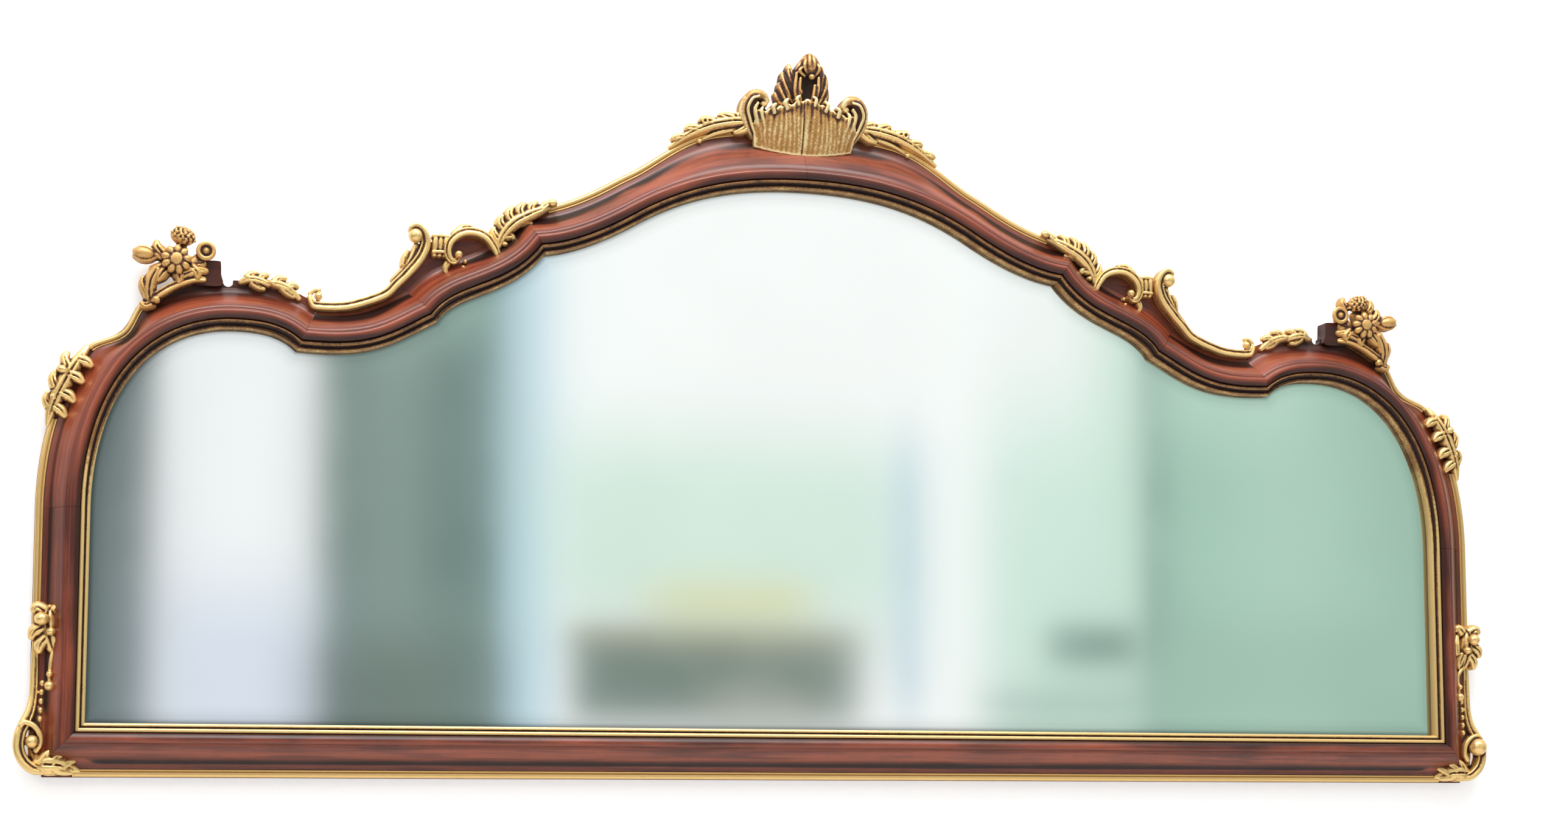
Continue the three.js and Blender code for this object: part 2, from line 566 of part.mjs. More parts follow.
function crestLine(share, extra) {
  const list = stations(arch);
  const index = list.findIndex(station => station.share >= share);
  const blend = (share - list[index - 1].share) / (list[index].share - list[index - 1].share);
  const outside = station => offsetPoint(station, railWidth + rise(station) + extra);
  return outside(list[index - 1]).lerp(outside(list[index]), blend);
}

const alongCrest = rows => rows.map(([share, extra, ...rest]) => [...crestLine(share, extra).toArray(), ...rest]);

const crestSpray = (grow = 0) => join([
  strand(alongCrest([[0.53, 2, 2.5, 20], [0.6, 6, 6, 25], [0.68, 8.5, 8, 29], [0.76, 8, 8, 31], [0.83, 6, 6, 31]]), { grow }),
  lobe(alongCrest([[0.6, 8, 4.5, 26], [0.575, 15, 1.8, 24]]), grow),
  lobe(alongCrest([[0.67, 10, 5, 29], [0.64, 19, 1.8, 25]]), grow),
  lobe(alongCrest([[0.74, 10, 5, 31], [0.71, 20, 1.8, 26]]), grow),
]);

const shellRibs = 11;
const shellHeight = 62;
const shellRows = 4;

// The shell's face: ribs that fan upward from a narrow waist and roll forward at the lip.
function shellBody(grow = 0) {
  const columns = shellRibs * 2;
  const back = carvingBack - grow;
  const rings = [];
  for (let row = 0; row <= shellRows; row += 1) {
    const up = row / shellRows;
    const ring = [];
    for (let column = 0; column <= columns; column += 1) {
      const across = 2 * column / columns - 1;
      const rib = column % 2;
      const foot = 16 * across * across - grow;
      const lip = shellHeight + 4 * rib - 8 * across * across + grow;
      const front = 34 + 12 * Math.sin(up * Math.PI * 0.62) + 3.2 * (rib - 1) * (0.35 + 0.65 * up) - 7 * across * across;
      const half = across * (52 + 14 * up * up + grow);
      ring.push(worldPoint(crestAnchor.x + half, crestAnchor.y - 18 + foot + (lip - foot) * up, front + grow));
    }
    const ends = [ring.at(-1), ring[0]].map(point => worldPoint(point.x, point.z, back));
    rings.push([...ring, ...ends]);
  }
  return loft(rings, rings[0].map(point => new THREE.Vector2(point.x, -point.y)));
}

const ear = (side, grow) => join([
  strand([
    [50, -6, 6, 30], [58, 10, 7.5, 33], [68, 22, 8.5, 37], [73, 36, 8.5, 40], [68, 50, 8, 42], [56, 55, 7, 42], [47, 46, 5, 39],
  ].map(([half, height, ...rest]) => [crestAnchor.x + side * half, crestAnchor.y + height, ...rest]), { grow }),
  bud([crestAnchor.x + side * 49, crestAnchor.y + 40, 32], [7, 7, 10], 0, grow),
]);

const crestShell = (grow = 0) => join([shellBody(grow), ear(-1, grow), ear(1, grow)]);

const crestPlume = (grow = 0) => join([
  strand(from(crestAnchor, [[-2, 38, 20, 32], [1, 62, 22.5, 38], [5, 84, 21.5, 43], [6, 100, 18, 44], [7, 109, 12, 41], [7, 114, 5, 36]]), { grow }),
  strand(from(crestAnchor, [[-18, 42, 10, 32], [-27, 60, 9, 35], [-28, 74, 6.5, 35], [-26, 88, 1.8, 29]]), { grow, steps: 5 }),
  strand(from(crestAnchor, [[20, 44, 10, 32], [26, 62, 8, 35], [29, 76, 5, 34], [29, 90, 1.8, 29]]), { grow, steps: 5 }),
]);

// ---- Plate and back -----------------------------------------------------------------------------
// Stations right round one half of the opening, with the way out turned to the mitre at each cusp.
function rimStations() {
  const runs = sections.slice(1);
  const list = [stations(bottom)[0]];
  runs.forEach((run, i) => {
    const before = outward(endTangent(sections[i]));
    const after = outward(startTangent(run));
    const normal = before.clone().add(after).divideScalar(1 + before.dot(after));
    list.push({ point: startOf(run), tangent: startTangent(run), normal });
    list.push(...stations(run).slice(1, i === runs.length - 1 ? undefined : -1));
  });
  return list;
}

function rimOutline(offset) {
  const right = rimStations().map(station => offsetPoint(station, offset));
  const left = right.slice(1, -1).map(point => new THREE.Vector2(-point.x, point.y)).reverse();
  return [...right, ...left];
}

const mirrorPlate = () => slab(rimOutline(plateCover), plateLift - plateThickness, plateLift);
const packing = () => beyond(sweep(rimStations(), packingProfile), joint / 2);

// The backboards meet in a half-lap: the left one's front half and the right one's rear half overlap.
function backboards() {
  const low = boardLift - boardThickness;
  const middle = boardLift - boardThickness / 2;
  const whole = slab(rimOutline(boardRebate - boardPlay), low, boardLift);
  const far = sightHalfWidth + railWidth;
  const strip = (left, right, rear, front) => slab(rectangle(left, right, 0, apex.y + railWidth), rear, front);
  const lap = boardLap / 2;
  const gap = joint / 2;
  return {
    right: carve(whole, [strip(-far, lap + gap, middle - gap, boardLift + clear), strip(-far, gap - lap, low - clear, middle)]),
    left: carve(whole, [strip(lap - gap, far, middle, boardLift + clear), strip(-lap - gap, far, low - clear, middle + gap)]),
  };
}

// ---- Assembly -----------------------------------------------------------------------------------
const mahogany = new THREE.MeshStandardMaterial({ color: 0x7a3a2a, roughness: 0.35, metalness: 0 });
const gilt = new THREE.MeshStandardMaterial({ color: 0xc9985a, roughness: 0.42, metalness: 0.8 });
const agedGilt = new THREE.MeshStandardMaterial({ color: 0x9a6f42, roughness: 0.5, metalness: 0.7 });
const silvered = new THREE.MeshStandardMaterial({ color: 0xc8d6cf, roughness: 0.04, metalness: 1 });
const softwood = new THREE.MeshStandardMaterial({ color: 0xb08a5c, roughness: 0.8, metalness: 0 });
const steel = new THREE.MeshStandardMaterial({ color: 0x8d8a80, roughness: 0.4, metalness: 1 });

const group = new THREE.Group();
group.name = 'overmantel_mirror';

function add(name, solid, material) {
  const mesh = new THREE.Mesh(toGeometry(solid), material);
  mesh.name = name;
  group.add(mesh);
}

function addPair(name, solid, material) {
  add(`${name}_right`, solid, material);
  add(`${name}_left`, mirrored(solid), material);
}

// Wood
add('bottom_rail', bottomRail(), mahogany);
addPair('stile', stileWood(), mahogany);
addPair('shoulder', shoulderWood(), mahogany);
addPair('dip', mitred(dip, woodProfile), mahogany);
addPair('knee', kneeWood(), mahogany);
const archHalf = archWood();
add('arch_right', beyond(archHalf, crestCentre + joint / 2), mahogany);
add('arch_left', mirrored(beyond(archHalf, -crestCentre + joint / 2)), mahogany);

// Gilt slip
add('slip_bottom', bottomLength(slipProfile), gilt);
addPair('slip_side', slipSide(), gilt);
addPair('slip_dip', mitred(dip, slipProfile), gilt);
addPair('slip_knee', mitred(knee, slipProfile), gilt);
addPair('slip_arch', beyond(mitred(arch, slipProfile), joint / 2), gilt);

// Gilt bead
add('bead_bottom', bottomBead(beadProfile), gilt);
addPair('bead_side', sideBead(beadProfile), gilt);
addPair('bead_shoulder', scoopBead(beadProfile), gilt);
addPair('bead_arch', archBead(beadProfile), gilt);

// What the carving is fitted round
const railRuns = { stile, shoulder, dip, knee, arch };
const wood = Object.fromEntries(Object.entries(railRuns).map(([name, run]) => (
  [name, mitred(run, woodEnvelope, { gap: -fit, reach: run === arch ? widened : undefined })]
)));
const woodBottom = bottomLength(woodEnvelope, -fit);
const beads = {
  bottom: bottomBead(beadEnvelope),
  side: sideBead(beadEnvelope),
  scoop: scoopBead(beadEnvelope),
  arch: archBead(beadEnvelope),
};

// Carving on the sides and corners
for (const [hand, turned] of [['right', solid => solid], ['left', mirrored]]) {
  const volute = grow => cornerVolute(cornerBall[hand], grow);
  const knot = carve(sideKnot(knotPlace[hand]), [wood.stile, beads.side]);
  add(`side_knot_${hand}`, turned(knot), gilt);
  add(`corner_volute_${hand}`, turned(carve(volute(0), [wood.stile, woodBottom, beads.bottom, sideKnot(knotPlace[hand], fit)])), gilt);
  add(`corner_leaf_${hand}`, turned(carve(cornerLeaf(), [wood.stile, woodBottom, beads.bottom, volute(fit)])), gilt);
}

// Carving on the shoulders
addPair('shoulder_leaf', carve(shoulderLeaf(), [wood.shoulder, beads.side, beads.scoop]), gilt);
addPair('finial_scroll', carve(finialBase(), [wood.shoulder, beads.scoop]), agedGilt);
addPair('finial_bouquet', carve(finialBouquet(), [wood.shoulder, finialBase(fit)]), agedGilt);
addPair('top_spray', carve(topSpray(), [wood.shoulder, longScroll(fit)]), gilt);

// Carving from the dips to the arch
addPair('long_scroll', carve(longScroll(), [wood.dip, wood.knee, wood.shoulder]), gilt);
addPair('link_block', carve(linkBlock(), [wood.knee, longScroll(fit)]), agedGilt);
addPair('small_scroll', carve(smallScroll(), [wood.knee, linkBlock(fit)]), gilt);
addPair('acanthus', carve(acanthus(), [wood.knee, wood.arch, beads.arch, smallScroll(fit)]), gilt);

// Carving at the crest
const crestWood = [wood.arch, mirrored(wood.arch)];
const shellAround = crestShell(fit);
add('crest_shell', carve(crestShell(), [...crestWood, beads.arch, mirrored(beads.arch)]), gilt);
add('crest_plume', carve(crestPlume(), [...crestWood, shellAround]), agedGilt);
add('crest_spray_right', carve(crestSpray(), [wood.arch, beads.arch, shellAround]), gilt);
add('crest_spray_left', mirrored(carve(crestSpray(), [wood.arch, beads.arch, mirrored(shellAround)])), gilt);

// Plate, packing, backboards and hangers
add('mirror_plate', mirrorPlate(), silvered);
addPair('packing', packing(), softwood);
const boards = backboards();
add('backboard_right', boards.right, softwood);
add('backboard_left', boards.left, softwood);
addPair('hanger', hangerPlate(), steel);

export default group;
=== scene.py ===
# Looks for the overmantel mirror: polished mahogany, oil gilding, carving and an old plate.
# Everything is laid out in millimetres (half = distance from the middle, height, lift from the wall)
# and placed in metres. The right half is made and mirrored for the left.
import bpy
import bmesh
import math
import numpy as np
from mathutils import Vector, Matrix


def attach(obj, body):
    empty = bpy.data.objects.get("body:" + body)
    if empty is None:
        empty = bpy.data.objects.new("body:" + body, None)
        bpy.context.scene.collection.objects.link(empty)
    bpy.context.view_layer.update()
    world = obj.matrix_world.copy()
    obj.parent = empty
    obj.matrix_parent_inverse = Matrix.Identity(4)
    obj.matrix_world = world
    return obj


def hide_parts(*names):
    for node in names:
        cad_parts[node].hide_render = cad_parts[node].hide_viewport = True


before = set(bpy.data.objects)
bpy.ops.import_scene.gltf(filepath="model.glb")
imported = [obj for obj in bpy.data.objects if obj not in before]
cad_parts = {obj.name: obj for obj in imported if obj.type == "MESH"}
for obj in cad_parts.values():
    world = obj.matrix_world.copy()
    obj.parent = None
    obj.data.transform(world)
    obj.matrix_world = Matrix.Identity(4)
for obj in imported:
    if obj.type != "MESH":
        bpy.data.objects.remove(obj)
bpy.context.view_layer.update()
mm = 0.001


# Stage, camera and light

stageSettings = {
    "wallWidth": 7.0, "wallTop": 3.2, "floorHeight": -1.25, "floorDepth": 6.0,
    "wallColour": (0.93, 0.93, 0.93), "floorColour": (0.86, 0.86, 0.85), "glow": 0.35, "nearWall": 0.012,
}
cameraSettings = {
    "place": (-0.832, -2.972, -0.045), "pitch": 5.65, "yaw": 15.26, "lens": 58.7, "shift": 0.10,
}
lampSettings = [
    {
        "name": "skylight", "place": (-0.2, -1.4, 2.8), "aim": (0, 0, 0.45), "size": (3.0, 0.9), "power": 78,
        "colour": (1.0, 0.99, 0.97),
    },
    {
        "name": "window", "place": (-2.4, -2.6, 1.6), "aim": (0, 0, 0.4), "size": (1.2, 1.2), "power": 12,
        "colour": (1.0, 0.98, 0.95),
    },
]
roomSettings = {
    "level": 1.0,
    # soft light on everything and what gloss shows of the room, both from straight down to straight up
    "soft": [(0.0, 0.1), (0.4, 0.15), (0.55, 0.32), (0.75, 0.8), (1.0, 0.95)],
    "around": [(0.0, 0.08), (0.4, 0.1), (0.5, 0.24), (0.6, 0.5), (0.7, 1.0), (1.0, 1.0)],
    "span": 0.57,
    # What the plate shows of the room, from left to right: position and colour of each soft band.
    "bands": [
        (0.0, (0.13, 0.17, 0.17)), (
            0.03, (0.13, 0.17, 0.17),
        ), (0.05, (0.95, 0.95, 0.98)), (0.14, (0.97, 0.97, 0.99)), (0.158, (0.2, 0.27, 0.25)),
        (0.2, (0.26, 0.34, 0.31)), (
            0.265, (0.22, 0.31, 0.28),
        ), (0.285, (0.5, 0.68, 0.78)), (0.303, (0.66, 0.83, 0.93)), (0.32, (1.0, 1.0, 1.0)),
        (0.5, (1.0, 1.0, 1.0)), (0.61, (1.0, 1.0, 1.0)), (0.65, (0.66, 0.83, 0.75)), (
            0.745, (0.66, 0.84, 0.74),
        ), (0.763, (0.26, 0.4, 0.34)),
        (0.79, (0.4, 0.6, 0.5)), (0.87, (0.45, 0.64, 0.53)), (1.0, (0.36, 0.53, 0.44)),
    ],
    # soft shapes in the room: middle and half size across and up, softness across and up, colour, strength
    "shapes": [
        ((0.1, 0.05), (0.045, 0.03), (0.03, 0.03), (0.6, 0.66, 0.84), 0.6),
        (
            (0.165, 0.16), (0.012, 0.06), (0.012, 0.03), (0.1, 0.16, 0.14), 0.5,
        ), ((0.245, 0.14), (0.02, 0.05), (0.015, 0.03), (0.1, 0.16, 0.15), 0.5),
        ((0.2, 0.23), (0.06, 0.03), (0.03, 0.03), (0.42, 0.6, 0.52), 0.6), (
            (0.21, 0.045), (0.06, 0.02), (0.03, 0.02), (0.12, 0.15, 0.13), 0.6,
        ),
        ((0.44, 0.115), (0.12, 0.03), (0.05, 0.035), (0.6, 0.8, 0.68), 0.75), (
            (0.44, 0.088), (0.05, 0.005), (0.03, 0.008), (0.78, 0.74, 0.36), 0.8,
        ),
        (
            (0.43, 0.056), (0.1, 0.016), (0.02, 0.008), (0.13, 0.19, 0.16), 0.95,
        ), ((0.43, 0.073), (0.1, 0.003), (0.02, 0.005), (0.36, 0.32, 0.22), 0.8),
        ((0.46, 0.045), (0.03, 0.006), (0.03, 0.008), (0.42, 0.42, 0.36), 0.7),
        (
            (0.572, 0.1), (0.006, 0.05), (0.009, 0.03), (0.3, 0.5, 0.66), 0.85,
        ), ((0.66, 0.24), (0.05, 0.06), (0.05, 0.05), (1.0, 1.0, 1.0), 0.9),
        (
            (0.713, 0.072), (0.028, 0.006), (0.015, 0.006), (0.08, 0.15, 0.13), 0.95,
        ), ((0.69, 0.046), (0.05, 0.004), (0.03, 0.008), (0.2, 0.3, 0.26), 0.7),
        (
            (0.86, 0.06), (0.08, 0.02), (0.05, 0.02), (0.3, 0.42, 0.35), 0.4,
        ), ((0.83, 0.2), (0.05, 0.03), (0.04, 0.03), (0.6, 0.78, 0.68), 0.5),
    ],
}


def place(half, height, lift):
    return Vector((half, -lift, height)) * mm


def newMaterial(name):
    material = bpy.data.materials.new(name)
    material.use_nodes = True
    tree = material.node_tree
    return material, tree, tree.nodes["Principled BSDF"]


def addNode(tree, kind, inputs=None, **values):
    node = tree.nodes.new(kind)
    for key, value in values.items():
        setattr(node, key, value)
    for key, value in (inputs or {}).items():
        if isinstance(value, bpy.types.NodeSocket):
            tree.links.new(value, node.inputs[key])
        else:
            node.inputs[key].default_value = value
    return node


def addRamp(tree, factor, stops, interpolation="EASE"):
    ramp = addNode(tree, "ShaderNodeValToRGB", {"Fac": factor})
    ramp.color_ramp.interpolation = interpolation
    elements = ramp.color_ramp.elements
    elements[0].position, elements[1].position = stops[0][0], stops[-1][0]
    for position, colour in stops[1:-1]:
        elements.new(position)
    for element, (position, colour) in zip(elements, stops):
        colour = (colour,) * 3 if isinstance(colour, (int, float)) else colour
        element.color = (*colour, 1)
    return ramp.outputs["Color"]


def addMath(tree, operation, a, b=0.0, clamp=False):
    return addNode(tree, "ShaderNodeMath", {0: a, 1: b}, operation=operation, use_clamp=clamp).outputs[0]


def mixColour(tree, factor, a, b, blend="MIX"):
    node = addNode(tree, "ShaderNodeMix", data_type="RGBA", blend_type=blend)
    for key, value in (("Factor", factor), ("A", a), ("B", b)):
        socket = [s for s in node.inputs if s.name == key and s.enabled][0]
        if isinstance(value, bpy.types.NodeSocket):
            tree.links.new(value, socket)
        else:
            socket.default_value = value if isinstance(value, float) else (*value, 1)
    return [s for s in node.outputs if s.enabled][0]


def buildStage():
    settings = stageSettings
    wide, top, low = settings["wallWidth"] / 2, settings["wallTop"], settings["floorHeight"]
    for name, corners, colour in (
        (
            "wall", [(-wide, 0.0008, low), (wide, 0.0008, low), (wide, 0.0008, top), (-wide, 0.0008, top)],
            settings["wallColour"],
        ),
        (
            "floor",
            [
                (-wide, -settings["floorDepth"], low), (wide, -settings["floorDepth"], low),
                (wide, settings["floorDepth"], low), (-wide, settings["floorDepth"], low),
            ],
            settings["floorColour"],
        ),
    ):
        bm = bmesh.new()
        bm.faces.new([bm.verts.new(corner) for corner in corners])
        mesh = bpy.data.meshes.new(name)
        bm.to_mesh(mesh)
        bm.free()
        sheet = bpy.data.objects.new(name, mesh)
        bpy.context.collection.objects.link(sheet)
        material, tree, shader = newMaterial(name + "Paint")
        shader.inputs["Base Color"].default_value = (*colour, 1)
        shader.inputs["Roughness"].default_value = 0.9
        shader.inputs["Specular IOR Level"].default_value = 0.1
        shader.inputs["Emission Color"].default_value = (1, 1, 1, 1)
        glow = addMath(
            tree, "MULTIPLY", addNode(tree, "ShaderNodeLightPath").outputs["Is Camera Ray"], settings["glow"],
        )
        tree.links.new(glow, shader.inputs["Emission Strength"])
        if name == "wall":  # seen from behind, the wall isn't there, and it lets light in to the back of the frame
            facing = addNode(tree, "ShaderNodeNewGeometry").outputs["Backfacing"]
            path = addNode(tree, "ShaderNodeLightPath")
            near = addMath(tree, "LESS_THAN", path.outputs["Ray Length"], settings["nearWall"])
            near = addMath(tree, "MULTIPLY", near, addMath(tree, "SUBTRACT", 1.0, path.outputs["Is Camera Ray"]))
            clear = addNode(tree, "ShaderNodeBsdfTransparent").outputs[0]
            mix = addNode(
                tree, "ShaderNodeMixShader",
                {0: addMath(tree, "MAXIMUM", facing, near), 1: shader.outputs[0], 2: clear},
            )
            tree.links.new(mix.outputs[0], tree.nodes["Material Output"].inputs["Surface"])
        mesh.materials.append(material)


def buildCamera():
    settings = cameraSettings
    camera = bpy.data.cameras.new("camera")
    camera.lens = settings["lens"]
    camera.sensor_width = 36
    camera.shift_y = settings["shift"]
    camera.clip_start = 0.01
    holder = bpy.data.objects.new("camera", camera)
    holder.location = settings["place"]
    holder.rotation_euler = (math.radians(90 + settings["pitch"]), 0, math.radians(-settings["yaw"]))
    bpy.context.collection.objects.link(holder)
    bpy.context.scene.camera = holder


def buildLamps():
    for settings in lampSettings:
        lamp = bpy.data.lights.new(settings["name"], "AREA")
        lamp.shape = "RECTANGLE"
        lamp.size, lamp.size_y = settings["size"]
        lamp.energy = settings["power"]
        lamp.color = settings["colour"]
        holder = bpy.data.objects.new(settings["name"], lamp)
        holder.location = settings["place"]
        aim = Vector(settings["aim"]) - Vector(settings["place"])
        holder.rotation_euler = aim.to_track_quat("-Z", "Y").to_euler()
        bpy.context.collection.objects.link(holder)


def buildRoom():
    settings = roomSettings
    world = bpy.data.worlds.new("room")
    bpy.context.scene.world = world
    world.use_nodes = True
    tree = world.node_tree
    tree.nodes.clear()
    path = addNode(tree, "ShaderNodeLightPath")
    direction = addNode(tree, "ShaderNodeSeparateXYZ", {0: addNode(tree, "ShaderNodeTexCoord").outputs["Generated"]})
    ahead = addMath(tree, "MAXIMUM", addMath(tree, "MULTIPLY", direction.outputs["Y"], -1.0), 0.05)
    across = addMath(tree, "DIVIDE", direction.outputs["X"], ahead)
    up = addMath(tree, "DIVIDE", direction.outputs["Z"], ahead)

    slide = addMath(tree, "DIVIDE", across, settings["span"])
    bands = addRamp(tree, slide, settings["bands"])
    for middle, half, blur, colour, strength in settings["shapes"]:
        mask = strength
        for value, centre, size, edge in zip((slide, up), middle, half, blur):
            away = addMath(tree, "ABSOLUTE", addMath(tree, "SUBTRACT", value, centre))
            fade = addNode(
                tree, "ShaderNodeMapRange",
                {"Value": away, "From Min": size - edge / 2, "From Max": size + edge, "To Min": 1.0, "To Max": 0.0},
                interpolation_type="SMOOTHSTEP",
            )
            mask = addMath(tree, "MULTIPLY", fade.outputs[0], mask)
        bands = mixColour(tree, mask, bands, colour)

    # away from the part that the plate shows, the room is a plain gradient
    slope = addMath(tree, "ADD", addMath(tree, "MULTIPLY", direction.outputs["Z"], 0.5), 0.5)
    plain = addRamp(tree, slope, settings["around"])
    inFront = addMath(tree, "GREATER_THAN", addMath(tree, "MULTIPLY", direction.outputs["Y"], -1.0), 0.3)
    nearLevel = addRamp(
        tree, addMath(tree, "ABSOLUTE", addMath(tree, "SUBTRACT", up, 0.14)), [(0.0, 1.0), (0.25, 1.0), (0.5, 0.0)],
    )
    view = mixColour(tree, addMath(tree, "MULTIPLY", inFront, nearLevel), plain, bands)

    soft = addRamp(tree, slope, settings["soft"])
    even = addNode(tree, "ShaderNodeBackground", {"Color": soft, "Strength": settings["level"]})
    white = addNode(tree, "ShaderNodeBackground", {"Color": (1, 1, 1, 1), "Strength": 1.0})
    mirrored = addNode(tree, "ShaderNodeBackground", {"Color": view, "Strength": 1.0})
    glossy = addNode(
        tree, "ShaderNodeMixShader", {0: path.outputs["Is Glossy Ray"], 1: even.outputs[0], 2: mirrored.outputs[0]},
    )
    seen = addNode(
        tree, "ShaderNodeMixShader", {0: path.outputs["Is Camera Ray"], 1: glossy.outputs[0], 2: white.outputs[0]},
    )
    addNode(tree, "ShaderNodeOutputWorld", {"Surface": seen.outputs[0]})


bpy.context.scene.view_settings.view_transform = "Standard"
buildStage()
buildCamera()
buildLamps()
buildRoom()
print("stage, camera and lamps are set")


# Finishes

giltSettings = {
    "bright": {
        "crown": (0.96, 0.66, 0.27), "leaf": (0.46, 0.23, 0.065), "boleAndShade": (0.05, 0.018, 0.008), "metallic": 0.68,
        "roughness": 0.38, "wear": 0.9,
    },
    "aged": {
        "crown": (0.74, 0.43, 0.15), "leaf": (0.19, 0.07, 0.022), "boleAndShade": (0.03, 0.011, 0.006), "metallic": 0.5,
        "roughness": 0.42, "wear": 1.2,
    },
    # painted shade: the slip darkens upwards, where it faces down onto the glass
    "slip": {
        "crown": (0.88, 0.6, 0.25), "leaf": (0.3, 0.14, 0.045), "boleAndShade": (0.03, 0.011, 0.007), "metallic": 0.62,
        "roughness": 0.38, "wear": 0.7, "darkerBetween": (0.26, 0.44, 0.46),
    },
    # painted shade: darker upwards, brown in the ears and under the lip, paler at the foot
    "shell": {
        "crown": (1.0, 0.8, 0.42), "leaf": (0.5, 0.25, 0.07), "boleAndShade": (0.06, 0.02, 0.01), "metallic": 0.62,
        "roughness": 0.38, "wear": 0.8, "darkerBetween": (0.785, 0.85, 0.32),
    },
    # darker below the turned-over crown, paler on it
    "plume": {
        "crown": (0.74, 0.43, 0.16), "leaf": (0.23, 0.09, 0.028), "boleAndShade": (0.03, 0.011, 0.006), "metallic": 0.5,
        "roughness": 0.42, "wear": 1.2, "darkerBetween": (0.89, 0.855, 0.26),
    },
    "bead": {
        "crown": (0.86, 0.56, 0.22), "leaf": (0.4, 0.19, 0.055), "boleAndShade": (0.05, 0.018, 0.008), "metallic": 0.68,
        "roughness": 0.36, "wear": 0.8,
    },
}
mahoganySettings = {
    "light": (0.36, 0.075, 0.032), "dark": (0.12, 0.021, 0.011), "hollow": (0.02, 0.005, 0.004),
    "roughness": 0.34, "coat": 0.4, "coatRoughness": 0.27,
    # where the face lies on its UV, in metres, and how dark it is from slip to bead: painted shade on the lip, in the
    # quirk and by the bead, with dirt beside the gilding
    "face": (0.086, 0.138), "darkening": [
        (0.0, 0.96), (0.12, 0.86), (0.2, 0.3), (0.26, 0.05), (0.4, 0.42), (0.46, 0.05), (0.7, 0.0), (0.93, 0.1),
        (1.0, 0.4),
    ],
    # painted shade on the outer part of the shoulder tops: where it lies from the middle out, upwards and from slip to
    # bead
    "shoulders": [
        (0.6, 0.0), (0.66, 0.85), (0.79, 0.85), (0.85, 0.0),
    ], "shoulderTop": [(0.42, 0.0), (0.5, 1.0)], "outerPart": [(0.62, 0.0), (0.95, 1.0)],
}


def objectSpace(tree, scale=(1, 1, 1)):
    coordinate = addNode(tree, "ShaderNodeTexCoord").outputs["Object"]
    return addNode(tree, "ShaderNodeMapping", {"Vector": coordinate, "Scale": scale}).outputs[0]


def addBump(tree, shader, height, distance, strength=1.0):
    bump = addNode(tree, "ShaderNodeBump", {"Height": height, "Distance": distance, "Strength": strength})
    tree.links.new(bump.outputs[0], shader.inputs["Normal"])
    return bump


def makeGilt(name, settings):
    material, tree, shader = newMaterial(name)
    space = objectSpace(tree)
    hollow = addNode(tree, "ShaderNodeAttribute", attribute_name="hollow").outputs["Fac"]
    blotch = addNode(
        tree, "ShaderNodeTexNoise", {"Vector": space, "Scale": 55.0, "Detail": 4.0, "Roughness": 0.6},
    ).outputs["Fac"]
    speck = addNode(
        tree, "ShaderNodeTexNoise", {"Vector": space, "Scale": 420.0, "Detail": 3.0, "Roughness": 0.65},
    ).outputs["Fac"]
    uneven = addMath(tree, "MULTIPLY", addMath(tree, "SUBTRACT", blotch, 0.5), 0.5 * settings["wear"])
    uneven = addMath(
        tree, "ADD", uneven,
        addMath(tree, "MULTIPLY", addMath(tree, "SUBTRACT", speck, 0.5), 0.55 * settings["wear"]),
    )
    if "darkerBetween" in settings:    # darker from the first height to the second, by the third amount: painted shade on the slip and the shell
        height = addNode(tree, "ShaderNodeSeparateXYZ", {0: space}).outputs["Z"]
        low, high, most = settings["darkerBetween"]
        darkening = addNode(
            tree, "ShaderNodeMapRange", {"Value": height, "From Min": low, "From Max": high, "To Max": most},
            interpolation_type="SMOOTHSTEP",
        )
        uneven = addMath(tree, "ADD", uneven, darkening.outputs[0])
    # painted shade: the colour runs from crown through leaf to the bole colour as the surface goes into a hollow; worn
    # specks show the bole too
    depth = addMath(tree, "ADD", hollow, uneven, clamp=True)
    colour = addRamp(tree, depth, [(0.3, settings["crown"]), (0.52, settings["leaf"]), (0.78, settings["boleAndShade"])])
    tree.links.new(colour, shader.inputs["Base Color"])
    dull = addRamp(
        tree, depth,
        [(0.1, settings["roughness"] - 0.06), (0.5, settings["roughness"] + 0.04), (0.9, settings["roughness"] + 0.35)],
    )
    tree.links.new(dull, shader.inputs["Roughness"])
    metal = addRamp(tree, depth, [(0.3, settings["metallic"]), (0.9, settings["metallic"] * 0.25)])
    tree.links.new(metal, shader.inputs["Metallic"])
    rough = addMath(tree, "ADD", addMath(tree, "MULTIPLY", blotch, 0.6), addMath(tree, "MULTIPLY", speck, 0.4))
    addBump(tree, shader, rough, 0.0006, 0.55)
    return material


